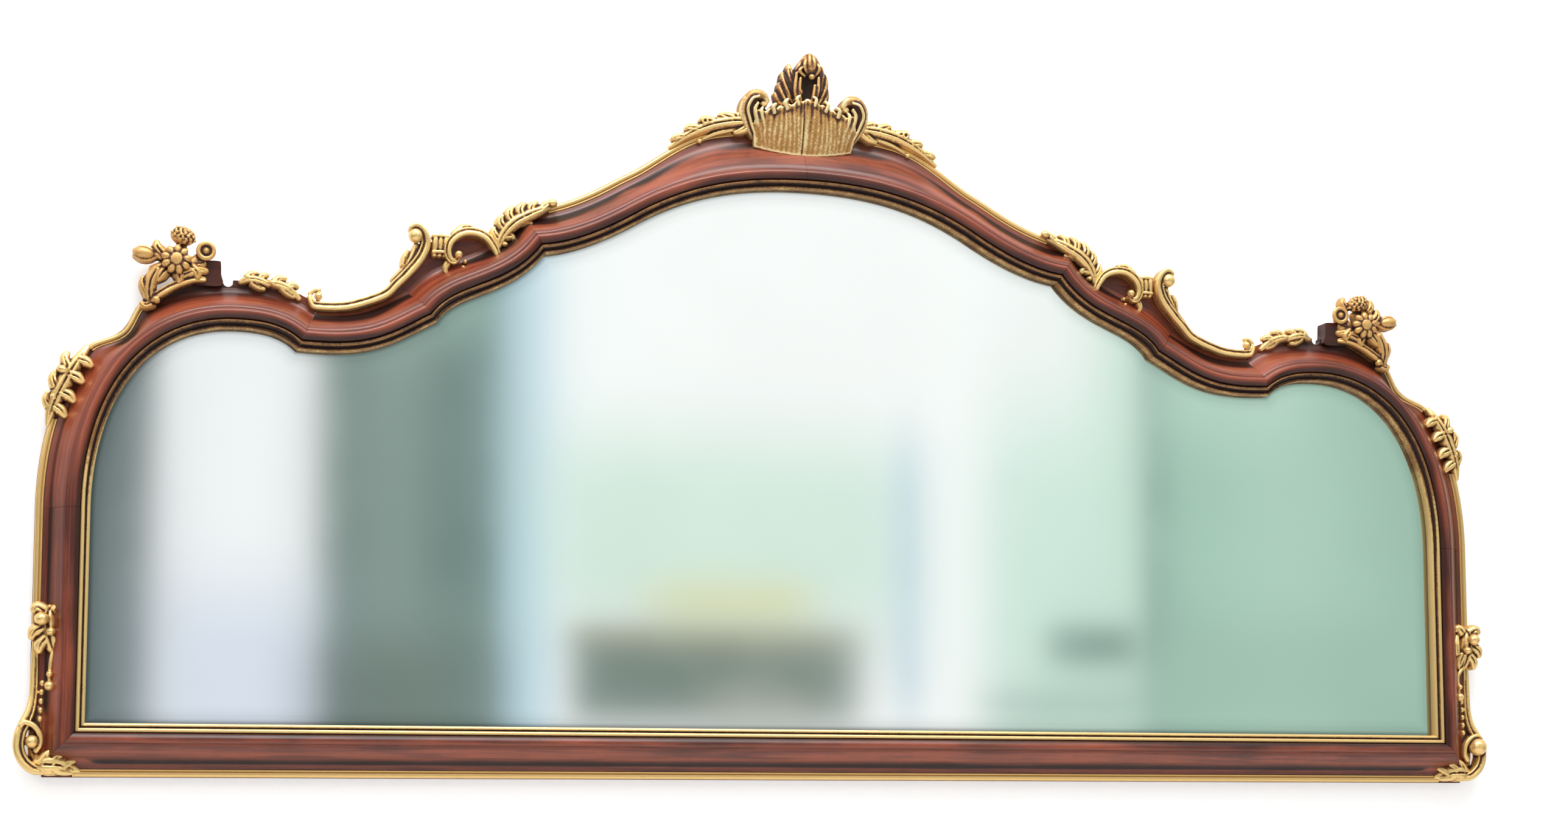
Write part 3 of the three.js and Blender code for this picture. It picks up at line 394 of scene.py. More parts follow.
def makeMahogany(name, settings):
    material, tree, shader = newMaterial(name)
    uv = addNode(tree, "ShaderNodeUVMap", uv_map="grain").outputs[0]
    space = objectSpace(tree)
    drift = addNode(tree, "ShaderNodeTexNoise", {"Vector": space, "Scale": 9.0, "Detail": 2.0}).outputs["Fac"]
    streaks = addNode(tree, "ShaderNodeMapping", {"Vector": uv, "Scale": (7, 150, 1)}).outputs[0]
    grain = addNode(
        tree, "ShaderNodeTexNoise",
        {"Vector": streaks, "Scale": 1.0, "Detail": 6.0, "Roughness": 0.62, "Distortion": 0.4},
    ).outputs["Fac"]
    pores = addNode(tree, "ShaderNodeMapping", {"Vector": uv, "Scale": (60, 1500, 1)}).outputs[0]
    pore = addNode(tree, "ShaderNodeTexNoise", {"Vector": pores, "Scale": 1.0, "Detail": 2.0}).outputs["Fac"]
    figure = addMath(tree, "ADD", addMath(tree, "MULTIPLY", grain, 0.7), addMath(tree, "MULTIPLY", drift, 0.45))
    wood = addRamp(tree, figure, [(0.38, settings["dark"]), (0.72, settings["light"])])
    fleck = addRamp(tree, pore, [(0.3, 0.5), (0.5, 1.0)])
    wood = mixColour(tree, 0.6, wood, mixColour(tree, 1.0, wood, fleck, "MULTIPLY"))
    hollow = addNode(tree, "ShaderNodeAttribute", attribute_name="hollow").outputs["Fac"]
    # painted shade with dirt: near-black in the hollows, by the hollow measure and the drift noise
    dirtAndShade = addRamp(
        tree, addMath(tree, "ADD", hollow, addMath(tree, "MULTIPLY", addMath(tree, "SUBTRACT", drift, 0.5), 0.3)),
        [(0.52, 0.0), (0.85, 1.0)],
    )
    wood = mixColour(tree, dirtAndShade, wood, settings["hollow"])
    across = addNode(tree, "ShaderNodeSeparateXYZ", {0: uv}).outputs["Y"]
    across = addMath(tree, "ADD", across, addMath(tree, "MULTIPLY", addMath(tree, "SUBTRACT", drift, 0.5), 0.012))
    low, high = settings["face"]
    share = addNode(tree, "ShaderNodeMapRange", {"Value": across, "From Min": low, "From Max": high}).outputs[0]
    # dirt and painted shade across the face, by the ramp from slip to bead
    beside = addRamp(tree, share, settings["darkening"], "LINEAR")
    spot = addNode(tree, "ShaderNodeSeparateXYZ", {0: space})
    # painted shade on the outer part of the shoulder tops
    shoulders = addRamp(tree, addMath(tree, "ABSOLUTE", spot.outputs["X"]), settings["shoulders"])
    upper = addRamp(tree, spot.outputs["Z"], settings["shoulderTop"])
    outer = addRamp(tree, share, settings["outerPart"])
    beside = addMath(
        tree, "MAXIMUM", beside, addMath(tree, "MULTIPLY", addMath(tree, "MULTIPLY", shoulders, upper), outer),
    )
    wood = mixColour(tree, beside, wood, settings["hollow"])
    # less coat where the dirt and painted shade lie
    clearOfDirtAndShade = addMath(tree, "SUBTRACT", 1.0, addMath(tree, "MAXIMUM", beside, dirtAndShade))
    tree.links.new(addMath(tree, "MULTIPLY", clearOfDirtAndShade, settings["coat"]), shader.inputs["Coat Weight"])
    shader.inputs["Specular IOR Level"].default_value = 0.4
    tree.links.new(wood, shader.inputs["Base Color"])
    gloss = addRamp(tree, grain, [(0.2, settings["roughness"] - 0.05), (0.8, settings["roughness"] + 0.1)])
    tree.links.new(gloss, shader.inputs["Roughness"])
    shader.inputs["Coat Roughness"].default_value = settings["coatRoughness"]
    addBump(tree, shader, addMath(tree, "ADD", grain, addMath(tree, "MULTIPLY", pore, 0.4)), 0.0002, 0.35)
    return material


brightGilt = makeGilt("brightGilding", giltSettings["bright"])
agedGilt = makeGilt("agedGilding", giltSettings["aged"])
slipGilt = makeGilt("slipGilding", giltSettings["slip"])
beadGilt = makeGilt("beadGilding", giltSettings["bead"])
shellGilt = makeGilt("shellGilding", giltSettings["shell"])
plumeGilt = makeGilt("plumeGilding", giltSettings["plume"])
mahogany = makeMahogany("polishedMahogany", mahoganySettings)
print("finishes are mixed")


# Making and finishing a piece

def neighbourMean(values, pairs, count):
    total = np.zeros_like(values)
    np.add.at(total, pairs[:, 0], values[pairs[:, 1]])
    np.add.at(total, pairs[:, 1], values[pairs[:, 0]])
    return total / count[:, None]


def markHollows(mesh, passes, reach):
    # 0 on a crown, 1 in a hollow: how far the surface moves outwards when it is smoothed
    size = len(mesh.vertices)
    flat = np.zeros(size * 3)
    mesh.vertices.foreach_get("co", flat)
    start = flat.reshape(-1, 3)
    normals = np.zeros((size, 3))
    for face in mesh.polygons:
        if len(face.vertices) <= 4:    # not the sawn ends
            normals[list(face.vertices)] += np.array(face.normal) * face.area
    normals /= np.maximum(np.linalg.norm(normals, axis=1), 1e-12)[:, None]
    pairs = np.zeros(len(mesh.edges) * 2, dtype=int)
    mesh.edges.foreach_get("vertices", pairs)
    pairs = pairs.reshape(-1, 2)
    count = np.maximum(np.bincount(pairs.ravel(), minlength=size), 1)
    smooth = start.copy()
    for _ in range(passes):
        smooth = neighbourMean(smooth, pairs, count)
    depth = np.einsum("ij,ij->i", smooth - start, normals)
    depth = np.clip(0.5 + depth / reach, 0, 1)
    for _ in range(2):
        depth = neighbourMean(depth[:, None], pairs, count)[:, 0]
    layer = mesh.attributes.new("hollow", "FLOAT", "POINT")
    layer.data.foreach_set("value", depth.astype(np.float32))


def finishPiece(name, mesh, material, slot, nodes, crease=38, passes=6, reach=0.0012):
    markHollows(mesh, passes, reach)
    mesh.materials.clear()
    mesh.materials.append(material)
    mesh.shade_smooth()
    if crease:
        mesh.set_sharp_from_angle(angle=math.radians(crease))
    piece = bpy.data.objects.new(name, mesh)
    bpy.context.collection.objects.link(piece)
    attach(piece, "root")
    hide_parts(*nodes)
    return piece


def toMesh(name, bm):
    mesh = bpy.data.meshes.new(name)
    bm.to_mesh(mesh)
    bm.free()
    return mesh


def withModifiers(name, mesh, addModifiers):
    helper = bpy.data.objects.new(name + "Rough", mesh)
    bpy.context.collection.objects.link(helper)
    addModifiers(helper)
    graph = bpy.context.evaluated_depsgraph_get()
    done = bpy.data.meshes.new_from_object(helper.evaluated_get(graph))
    bpy.data.objects.remove(helper)
    bpy.data.meshes.remove(mesh)
    done.name = name
    return done


def mirrorOver(bm):
    bmesh.ops.scale(bm, vec=(-1, 1, 1), verts=bm.verts)
    bmesh.ops.reverse_faces(bm, faces=bm.faces)


def newVerts(made):
    return [item for item in made if isinstance(item, bmesh.types.BMVert)]


def extrudeRing(bm, ring, loop):
    fresh = set(newVerts(bmesh.ops.extrude_edge_only(bm, edges=loop)["geom"]))
    ring = [next(edge.other_vert(vert) for edge in vert.link_edges if edge.other_vert(vert) in fresh) for vert in ring]
    return ring, [bm.edges.get(pair) for pair in zip(ring, ring[1:] + ring[:1])]


def stopped(bm, plane, normal):
    # keeps what lies ahead of a plane and closes the cut
    everything = bm.verts[:] + bm.edges[:] + bm.faces[:]
    cut = bmesh.ops.bisect_plane(bm, geom=everything, dist=1e-7, plane_co=plane, plane_no=normal, clear_inner=True)
    bmesh.ops.holes_fill(bm, edges=[item for item in cut["geom_cut"] if isinstance(item, bmesh.types.BMEdge)], sides=0)


# Mouldings: stations along the sight edge, and profiles of (offset from it, lift)

frameSettings = {
    "corner": (833, 60), "spring": (833, 300), "shoulderTop": (678, 511), "dipCusp": (609, 490), "kneeCusp": (449, 531),
    "archCusp": (322, 619), "archWaist": (210, 664), "apex": (0, 717), "crestCentre": -4,
    "railWidth": 60, "halfWidth": 893, "crestRise": 20, "scoopDepth": 15.5, "cornerCut": 15,
    "joint": 0.15, "step": 5,
}
sight = frameSettings


def heading(degrees):
    return Vector((-math.cos(math.radians(degrees)), math.sin(math.radians(degrees))))


def stretch(start, startHeading, startReach, end, endHeading, endReach):
    start, end = Vector(start), Vector(end)
    return [start, start + heading(startHeading) * startReach, end - heading(endHeading) * endReach, end]


def straight(start, end):
    start, end = Vector(start), Vector(end)
    return [start, start.lerp(end, 1 / 3), start.lerp(end, 2 / 3), end]


sections = {
    "bottom": [straight((0, 60), sight["corner"])],
    "stile": [straight(sight["corner"], sight["spring"])],
    "shoulder": [
        stretch(sight["spring"], 90, 131, sight["shoulderTop"], 0, 94),
        stretch(sight["shoulderTop"], 0, 30, sight["dipCusp"], -45, 24),
    ],
    "dip": [stretch(sight["dipCusp"], -4, 90, sight["kneeCusp"], 28, 55)],
    "knee": [stretch(sight["kneeCusp"], 58, 45, sight["archCusp"], 52, 70)],
    "arch": [
        stretch(sight["archCusp"], 8, 40, sight["archWaist"], 31, 38),
        stretch(sight["archWaist"], 31, 70, sight["apex"], 0, 90),
    ],
}
order = list(sections)


def curvePoint(curve, t):
    a, b, c, d = curve
    s = 1 - t
    return a * s ** 3 + b * 3 * s * s * t + c * 3 * s * t * t + d * t ** 3


def curveHeading(curve, t):
    a, b, c, d = curve
    s = 1 - t
    return ((b - a) * 3 * s * s + (c - b) * 6 * s * t + (d - c) * 3 * t * t).normalized()


def stationsAlong(curves, step=None):
    # evenly spaced by length, with the way on, the way out and the share of the run that lies behind
    step = step or sight["step"]
    fine = [(curve, i / 200) for curve in curves for i in range(200)] + [(curves[-1], 1.0)]
    points = [curvePoint(curve, t) for curve, t in fine]
    lengths = np.concatenate([[0], np.cumsum([(b - a).length for a, b in zip(points, points[1:])])])
    steps = max(2, round(lengths[-1] / step))
    stations = []
    for i in range(steps + 1):
        index = min(np.searchsorted(lengths, lengths[-1] * i / steps - 1e-6), len(fine) - 1)
        curve, t = fine[index]
        tangent, along = curveHeading(curve, t), float(lengths[index])
        stations.append({
            "point": curvePoint(curve, t), "tangent": tangent, "out": Vector((tangent.y, -tangent.x)),
            "along": along, "share": float(lengths[index] / lengths[-1]),
        })
    return stations


def carriedOn(stations, before=45, after=45):
    first, last = stations[0], stations[-1]
    start = {**first, "point": first["point"] - first["tangent"] * before, "along": first["along"] - before}
    end = {**last, "point": last["point"] + last["tangent"] * after, "along": last["along"] + after}
    return [start, *stations, end]


def smoothStep(low, high, value):
    t = min(max((value - low) / (high - low), 0), 1)
    return t * t * (3 - 2 * t)


def archRise(station):
    return sight["crestRise"] * smoothStep(0.42, 0.72, station["share"])


def shoulderScoop(station):
    t = abs(station["share"] - 0.512) / 0.085
    return 0 if t > 1 else -sight["scoopDepth"] * (1 - t * t) ** 2


# What widens or narrows a section does so between its ridge and its bead, and moves the bead whole.
widening = {"arch": archRise, "shoulder": shoulderScoop}


def spotOf(station, offset, lift, section):
    further = widening[section](station) if section in widening else 0
    offset += further * min(max((offset - 24) / 26, 0), 1)
    point = station["point"] + station["out"] * offset
    return place(point.x, point.y, lift)


def sweep(stations, profile, section=None):
    bm = bmesh.new()
    along = {}
    across = [0]
    for (o1, l1), (o2, l2) in zip(profile, profile[1:]):
        across.append(across[-1] + math.hypot(o2 - o1, l2 - l1))
    ring = [bm.verts.new(spotOf(stations[0], *spot, section)) for spot in profile]
    bm.verts.index_update()
    loop = [bm.edges.new((a, b)) for a, b in zip(ring, ring[1:] + ring[:1])]
    along.update({vert: (stations[0]["along"], side) for vert, side in zip(ring, across)})
    for station in stations[1:]:
        ring, loop = extrudeRing(bm, ring, loop)
        for vert, spot, side in zip(ring, profile, across):
            vert.co = spotOf(station, *spot, section)
            along[vert] = (station["along"], side)
    bmesh.ops.holes_fill(bm, edges=[edge for edge in bm.edges if edge.is_boundary], sides=0)
    bmesh.ops.recalc_face_normals(bm, faces=bm.faces)
    layer = bm.loops.layers.uv.new("grain")
    for face in bm.faces:
        sides = [along[corner.vert][1] for corner in face.loops]
        wraps = max(sides) - min(sides) > 0.5 * across[-1]
        for corner, side in zip(face.loops, sides):
            corner[layer].uv = (along[corner.vert][0] * mm, (across[-1] + 7 if wraps and side == 0 else side) * mm)
    return bm


def sawOff(bm, point, ahead, gap=sight["joint"]):
    # the plane stands square to the wall
    normal = Vector((ahead.x, 0, ahead.y)).normalized()
    stopped(bm, Vector((point.x, 0, point.y)) * mm + normal * gap * mm, normal)


def startOf(curves):
    return curves[0][0], curveHeading(curves[0], 0)


def endOf(curves):
    return curves[-1][3], curveHeading(curves[-1], 1)


def mitred(section, profile, curves=None, before=None, after=None, shape=None):
    index = order.index(section)
    curves = curves or sections[section]
    previous = sections[before or order[index - 1]]
    nextName = after or (order[index + 1] if index + 1 < len(order) else None)
    stations = carriedOn(stationsAlong(curves))
    behind = sum(stationsAlong(sections[name])[-1]["along"] for name in order[1:index])    # so that the grain runs on
    for station in stations:
        station["along"] += behind
    bm = sweep(stations, profile, shape)
    sawOff(bm, startOf(curves)[0], endOf(previous)[1] + startOf(curves)[1])
    if nextName:
        sawOff(bm, endOf(curves)[0], -(endOf(curves)[1] + startOf(sections[nextName])[1]))
    return bm


def bottomLength(profile):
    right = carriedOn(stationsAlong(sections["bottom"]))[1:]
    left = [
        {**station, "point": Vector((-station["point"].x, station["point"].y)), "along": -station["along"]}
        for station in right[:0:-1]
    ]
    bm = sweep(left + right, profile)
    mitre = -(endOf(sections["bottom"])[1] + startOf(sections["stile"])[1])
    corner = Vector(sight["corner"])
    sawOff(bm, corner, mitre)
    sawOff(bm, Vector((-corner.x, corner.y)), Vector((-mitre.x, mitre.y)))
    return bm


def roundedThrough(rows, count):
    # Catmull-Rom through rows of numbers
    rows = [np.array(row, dtype=float) for row in rows]
    rows = [2 * rows[0] - rows[1], *rows, 2 * rows[-1] - rows[-2]]
    result = []
    for i in range(count + 1):
        at = (len(rows) - 3) * i / count
        k = min(int(at), len(rows) - 4)
        t = at - k
        p, q, r, s = rows[k:k + 4]
        result.append(0.5 * (2 * q + (r - p) * t + (2 * p - 5 * q + 4 * r - s) * t * t + (3 * q - p - 3 * r + s) * t ** 3))
    return result


def arcSpots(centre, radius, start, end, count):
    return [
        (centre[0] + radius * math.cos(math.radians(a)), centre[1] + radius * math.sin(math.radians(a)))
        for a in np.linspace(start, end, count + 1)
    ]


profileSettings = {
    "lipStart": 10.8, "beadStart": 50.3, "ridgeLift": 44,
    # shares of the width from lip to bead, and drops below the ridge
    "face": [
        (0, 6), (0.03, 3.2), (0.1, 1.2), (0.17, 0.1), (0.24, 0.6), (0.275, 2.0), (0.29, 2.7), (0.33, 2.9), (0.4, 4.6),
        (0.55, 11.4), (0.66, 17.6), (0.75, 22.0), (0.86, 25.9), (1, 27.8),
    ],
    "slipReeds": [((8.1, 37.2), 2.2, -8, 160), ((2.5, 32.6), 1.9, 20, 150)],
    "beadReeds": [((51.9, 15.3), 1.25, 190, 0), ((56.1, 14.8), 3.4, 158, 0)],
}


def woodProfile():
    settings = profileSettings
    width = settings["beadStart"] - settings["lipStart"]
    face = roundedThrough(settings["face"], 44)
    crown = [(settings["lipStart"] + share * width, settings["ridgeLift"] - drop) for share, drop in face]
    return [(60, 0), (24, 0), (24, 7.5), (15, 7.5), (15, 32.3), (10.8, 32.3), *crown, (50.3, 12.5), (60, 12.5)]


def slipProfile():
    large, small = profileSettings["slipReeds"]
    return [
        (0, 22.6), (14.7, 22.6), (14.7, 32), (10.5, 32), (10.5, 36.5), *arcSpots(*large, 9), (5.6, 35.2), (4.8, 33.2),
        *arcSpots(*small, 8), (0, 31.6),
    ]


def beadProfile():
    small, large = profileSettings["beadReeds"]
    return [(50.6, 12.8), *arcSpots(*small, 7), *arcSpots(*large, 10), (59.6, 12.8)]


def addWood(name, node, bm, **options):
    finishPiece(name, toMesh(name, bm), mahogany, "moulding", [node], passes=10, reach=0.0009, **options)


def addGilding(name, node, bm, slot):
    finishPiece(name, toMesh(name, bm), slipGilt if slot == "slip" else beadGilt, slot, [node], passes=4, reach=0.0007)


def twice(build):
    for hand in ("right", "left"):
        bm = build()
        if hand == "left":
            mirrorOver(bm)
        yield hand, hand.capitalize(), bm


def cornerSawn(bm):
    sawOff(bm, Vector((sight["halfWidth"] - sight["cornerCut"], 0)), Vector((-1, 1)), gap=0)
    return bm


def bothCornersSawn(bm):
    cornerSawn(bm)
    sawOff(bm, Vector((sight["cornerCut"] - sight["halfWidth"], 0)), Vector((1, 1)), gap=0)
    return bm


def halfArch(end):
    bm = mitred("arch", woodProfile(), shape="arch")
    stopped(bm, (end * mm, 0, 0), (1, 0, 0))
    return bm


hangerSettings = {
    "half": 678, "height": 553, "length": 64, "width": 24, "sink": 2.5, "eye": 13.5, "travel": 8, "pocket": 12,
    "nick": (687, 569, 6),
}


def addBox(bm, half, height, length, width, depth):
    box = bmesh.ops.create_cube(bm, size=1)["verts"]
    bmesh.ops.scale(bm, vec=Vector((length, 2 * depth, width)) * mm, verts=box)
    bmesh.ops.translate(bm, vec=Vector((half, 0, height)) * mm, verts=box)


def pocketed(name, mesh, hand):
    settings = hangerSettings
    side = 1 if hand == "right" else -1
    bm = bmesh.new()
    addBox(
        bm, side * settings["half"], settings["height"], settings["length"] + 0.6, settings["width"] + 0.6,
        settings["sink"],
    )
    plateHollow = toMesh("plateHollow", bm)
    bm = bmesh.new()
    addBox(
        bm, side * settings["half"], settings["height"], settings["eye"], settings["eye"] + settings["travel"],
        settings["pocket"],
    )
    cavity = toMesh("screwHollow", bm)
    bm = bmesh.new()
    nick = settings["nick"]
    wide = nick[2] * mm
    made = bmesh.ops.create_cone(bm, cap_ends=True, segments=28, radius1=wide, radius2=wide, depth=0.12)["verts"]
    bmesh.ops.rotate(bm, cent=(0, 0, 0), matrix=Matrix.Rotation(math.radians(90), 3, "X"), verts=made)
    bmesh.ops.translate(bm, vec=Vector((side * nick[0], 0, nick[1])) * mm, verts=made)
    for cutter in (plateHollow, cavity, toMesh("nick", bm)):
        tool = bpy.data.objects.new("cutter", cutter)
        bpy.context.collection.objects.link(tool)

        def cut(helper):
            boolean = helper.modifiers.new("cut", "BOOLEAN")
            boolean.operation, boolean.solver, boolean.object = "DIFFERENCE", "EXACT", tool
        mesh = withModifiers(name, mesh, cut)
        bpy.data.objects.remove(tool)
    return mesh


# Thin boards of the same wood that reach past the moulding where the carving needs a ground
groundSettings = {
    "thick": 12.4, "blockThick": 22, "block": [
        (729, 562), (728.5, 580), (726, 589), (712, 590.5), (698, 590.5), (696, 588), (695.5, 575), (695.5, 562),
    ],
    "finial": [
        (767.2, 534.6), (755.2, 550.6), (737.2, 562.6), (714.2, 568.6), (696.2, 569.6), (695.2, 550), (729.2, 538.6),
    ],
    "knee": [
        (
            483, 583,
        ), (474, 601), (465, 619), (459, 629), (441, 629), (423, 635), (405, 637), (389, 635), (375, 643), (359, 655), (347, 661),
        (351, 645), (379, 621), (419, 597), (459, 579),
    ],
}


def withGround(mesh, outline, hand, thick):
    bm = bmesh.new()
    bm.from_mesh(mesh)
    bpy.data.meshes.remove(mesh)
    side = 1 if hand == "right" else -1
    spots = [Vector(spot[:2]) for spot in roundedThrough([*outline, outline[0]], 4 * len(outline))][:-1]
    before = set(bm.faces)
    front = bm.faces.new([bm.verts.new(place(side * spot.x, spot.y, thick)) for spot in spots])
    made = bmesh.ops.extrude_face_region(bm, geom=[front])["geom"]
    for vert in newVerts(made):
        vert.co.y = -0.0001
    fresh = [face for face in bm.faces if face not in before]
    bmesh.ops.recalc_face_normals(bm, faces=fresh)
    layer = bm.loops.layers.uv["grain"]
    for face in fresh:
        for corner in face.loops:
            corner[layer].uv = (corner.vert.co.x, corner.vert.co.z)
    return toMesh("grounded", bm)


addWood("bottomRail", "bottom_rail", bothCornersSawn(bottomLength(woodProfile())))
for hand, side, bm in twice(lambda: cornerSawn(mitred("stile", woodProfile()))):
    addWood("stile" + side, "stile_" + hand, bm)
for hand, side, bm in twice(lambda: mitred("shoulder", woodProfile(), shape="shoulder")):
    mesh = pocketed("shoulder" + side, toMesh("shoulder" + side, bm), hand)
    mesh = withGround(mesh, groundSettings["finial"], hand, groundSettings["thick"])
    mesh = withGround(mesh, groundSettings["block"], hand, groundSettings["blockThick"])
    finishPiece("shoulder" + side, mesh, mahogany, "moulding", ["shoulder_" + hand], passes=10, reach=0.0009)
for hand, side, bm in twice(lambda: mitred("dip", woodProfile())):
    addWood("dip" + side, "dip_" + hand, bm)
for hand, side, bm in twice(lambda: mitred("knee", woodProfile())):
    mesh = withGround(toMesh("knee" + side, bm), groundSettings["knee"], hand, groundSettings["thick"])
    finishPiece("knee" + side, mesh, mahogany, "moulding", ["knee_" + hand], passes=10, reach=0.0009)
archRight = halfArch(sight["crestCentre"] + sight["joint"])
addWood("archRight", "arch_right", archRight)
archLeft = halfArch(-sight["crestCentre"] + sight["joint"])
mirrorOver(archLeft)
addWood("archLeft", "arch_left", archLeft)
print("mouldings are run and mitred")

addGilding("slipBottom", "slip_bottom", bottomLength(slipProfile()), "slip")
for hand, side, bm in twice(lambda: mitred("stile", slipProfile(), curves=sections["stile"] + sections["shoulder"], before="bottom", after="dip")):
    addGilding("slipSide" + side, "slip_side_" + hand, bm, "slip")
for section in ("dip", "knee"):
    for hand, side, bm in twice(lambda: mitred(section, slipProfile())):
        addGilding(f"slip{section.capitalize()}{side}", f"slip_{section}_{hand}", bm, "slip")


def slipArch():
    bm = mitred("arch", slipProfile())
    stopped(bm, (sight["joint"] * mm, 0, 0), (1, 0, 0))
    return bm


for hand, side, bm in twice(slipArch):
    addGilding("slipArch" + side, "slip_arch_" + hand, bm, "slip")

beadStops = {
    "bottom": 845, "sideFoot": 150.3, "sideTop": 401, "scoopFoot": 0.425, "scoopTop": 0.59, "archStart": 316,
    "archEnd": 80,
}


def bottomBead():
    bm = bottomLength(beadProfile())
    stopped(bm, (beadStops["bottom"] * mm, 0, 0), (-1, 0, 0))
    stopped(bm, (-beadStops["bottom"] * mm, 0, 0), (1, 0, 0))
    return bm


def sideBead():
    bm = sweep(carriedOn(stationsAlong(sections["stile"] + sections["shoulder"])), beadProfile())
    stopped(bm, (0, 0, beadStops["sideFoot"] * mm), (0, 0, 1))
    stopped(bm, (0, 0, beadStops["sideTop"] * mm), (0, 0, -1))
    return bm


def scoopBead():
    stations = [
        s
        for s in stationsAlong(sections["shoulder"], 3) if beadStops["scoopFoot"] <= s["share"] <= beadStops["scoopTop"]
    ]
    return sweep(stations, beadProfile(), "shoulder")


def archBead():
    bm = sweep(carriedOn(stationsAlong(sections["arch"])), beadProfile(), "arch")
    stopped(bm, (beadStops["archEnd"] * mm, 0, 0), (1, 0, 0))
    stopped(bm, (beadStops["archStart"] * mm, 0, 0), (-1, 0, 0))
    return bm


addGilding("beadBottom", "bead_bottom", bottomBead(), "bead")
for name, node, build in (
    ("beadSide", "bead_side", sideBead), ("beadShoulder", "bead_shoulder", scoopBead),
    ("beadArch", "bead_arch", archBead),
):
    for hand, side, bm in twice(build):
        addGilding(name + side, f"{node}_{hand}", bm, "bead")
print("slips and beads are laid")


# Carving. Each piece is laid out from its anchor: strokes are (section, rows, steps, relief) with rows of
# (half, height, half width, crown lift), lobes are short leaf strokes, buds are (half, height, lift,
# long, wide, deep, turn) and rings (half, height, lift, radius, thickness). A piece is then fused and
# softened, like gesso under gilding.

carvingSettings = {
    "back": 12.8, "voxel": 0.85, "soften": 3, "lobeSteps": 8, "fuller": 1.6, "tip": 0.45,
    "sections": {  # (across, drop) in half widths
        "round": [
            (-1, 1), (-0.95, 0.69), (-0.8, 0.4), (-0.5, 0.13), (0, 0), (0.5, 0.13), (0.8, 0.4), (0.95, 0.69), (1, 1),
        ],
        "scroll": [
            (-1, 0.9), (-0.93, 0.45), (-0.75, 0.1), (-0.5, 0), (-0.2, 0.05), (0.1, 0.16), (0.34, 0.42), (0.5, 0.38),
            (0.66, 0.14), (0.8, 0.14), (0.93, 0.45), (1, 0.9),
        ],
        "leaf": [
            (-1, 0.9), (-0.8, 0.42), (-0.45, 0.08), (-0.2, 0.02), (0, 0.34), (0.2, 0.02), (0.45, 0.08), (0.8, 0.42),
            (1, 0.9),
        ],
        "cupped": [
            (-1, 0.5), (-0.9, 0.1), (-0.72, 0), (-0.45, 0.3), (0, 0.5), (0.45, 0.3), (0.72, 0), (0.9, 0.1), (1, 0.5),
        ],
    },
}
anchors = {
    "corner": (893, 0), "side": (893, 172.8), "leaf": (865.3, 445), "finial": (759.2, 554.6), "spray": (632.9, 567.1),
    "dip": (609, 490), "knee": (449, 531), "crest": (-4, 777),
}


def addStroke(bm, rows, section="round", steps=None, relief=1.0):
    spots = carvingSettings["sections"][section]
    back, tip = carvingSettings["back"], carvingSettings["tip"]
    path = roundedThrough(rows, steps or max(6, 5 * (len(rows) - 1)))
    first, last = path[0].copy(), path[-1].copy()
    for end, nextOne in ((first, path[1]), (last, path[-2])):  # rounded ends
        away = end[:2] - nextOne[:2]
        end[:2] += away / max(np.linalg.norm(away), 1e-6) * end[2] * tip
        end[3] -= end[2] * 0.5 * relief
        end[2] *= 0.5
    path = [first, *path, last]
    ring, loop = None, None
    for i, (half, height, width, crown) in enumerate(path):
        before, after = path[max(i - 1, 0)], path[min(i + 1, len(path) - 1)]
        way = Vector(after[:2] - before[:2]).normalized()
        side = Vector((way.y, -way.x)) * width
        places = [
            place(half + side.x * a, height + side.y * a, max(back + 0.4, crown - drop * width * relief))
            for a, drop in spots
        ]
        places += [place(half + side.x, height + side.y, back), place(half - side.x, height - side.y, back)]
        if ring is None:
            ring = [bm.verts.new(spot) for spot in places]
            loop = [bm.edges.new(pair) for pair in zip(ring, ring[1:] + ring[:1])]
            bm.faces.new(ring)
            continue
        ring, loop = extrudeRing(bm, ring, loop)
        for vert, spot in zip(ring, places):
            vert.co = spot
    bm.faces.new(ring)


def addBud(bm, half, height, lift, long, wide, deep, turn=0):
    verts = bmesh.ops.create_uvsphere(bm, u_segments=16, v_segments=10, radius=1)["verts"]
    bmesh.ops.scale(bm, vec=Vector((long, deep, wide)) * mm, verts=verts)
    bmesh.ops.rotate(bm, cent=(0, 0, 0), matrix=Matrix.Rotation(math.radians(-turn), 3, "Y"), verts=verts)
    bmesh.ops.translate(bm, vec=place(half, height, lift), verts=verts)


def addRing(bm, half, height, lift, radius, thick, around=28, across=10):
    grid = []
    for i in range(around):
        turn = 2 * math.pi * i / around
        angles = [2 * math.pi * k / across for k in range(across)]
        reach = [(radius + thick * math.cos(angle), lift + thick * math.sin(angle)) for angle in angles]
        grid.append(
            [bm.verts.new(place(half + r * math.cos(turn), height + r * math.sin(turn), deep))
            for r, deep in reach]
        )
    for i in range(around):
        for k in range(across):
            bm.faces.new((grid[i - 1][k - 1], grid[i][k - 1], grid[i][k], grid[i - 1][k]))


def addPetals(bm, half, height, lift, radius, petals, size, turn):
    for i in range(petals):
        angle = math.radians(turn + 360 * i / petals)
        spot = (half + radius * math.cos(angle), height + radius * math.sin(angle))
        addBud(bm, *spot, lift, size * 1.15, size * 0.72, size * 0.8, math.degrees(angle))


def moved(anchor, rows):
    return [(anchor[0] + half, anchor[1] + height, *rest) for half, height, *rest in rows]


def addLobes(bm, lobes, fuller=None):
    fuller = fuller or carvingSettings["fuller"]
    for rows in lobes:
        rows = [(half, height, width * fuller, crown) for half, height, width, crown in rows]
        addStroke(bm, rows, "leaf", carvingSettings["lobeSteps"])


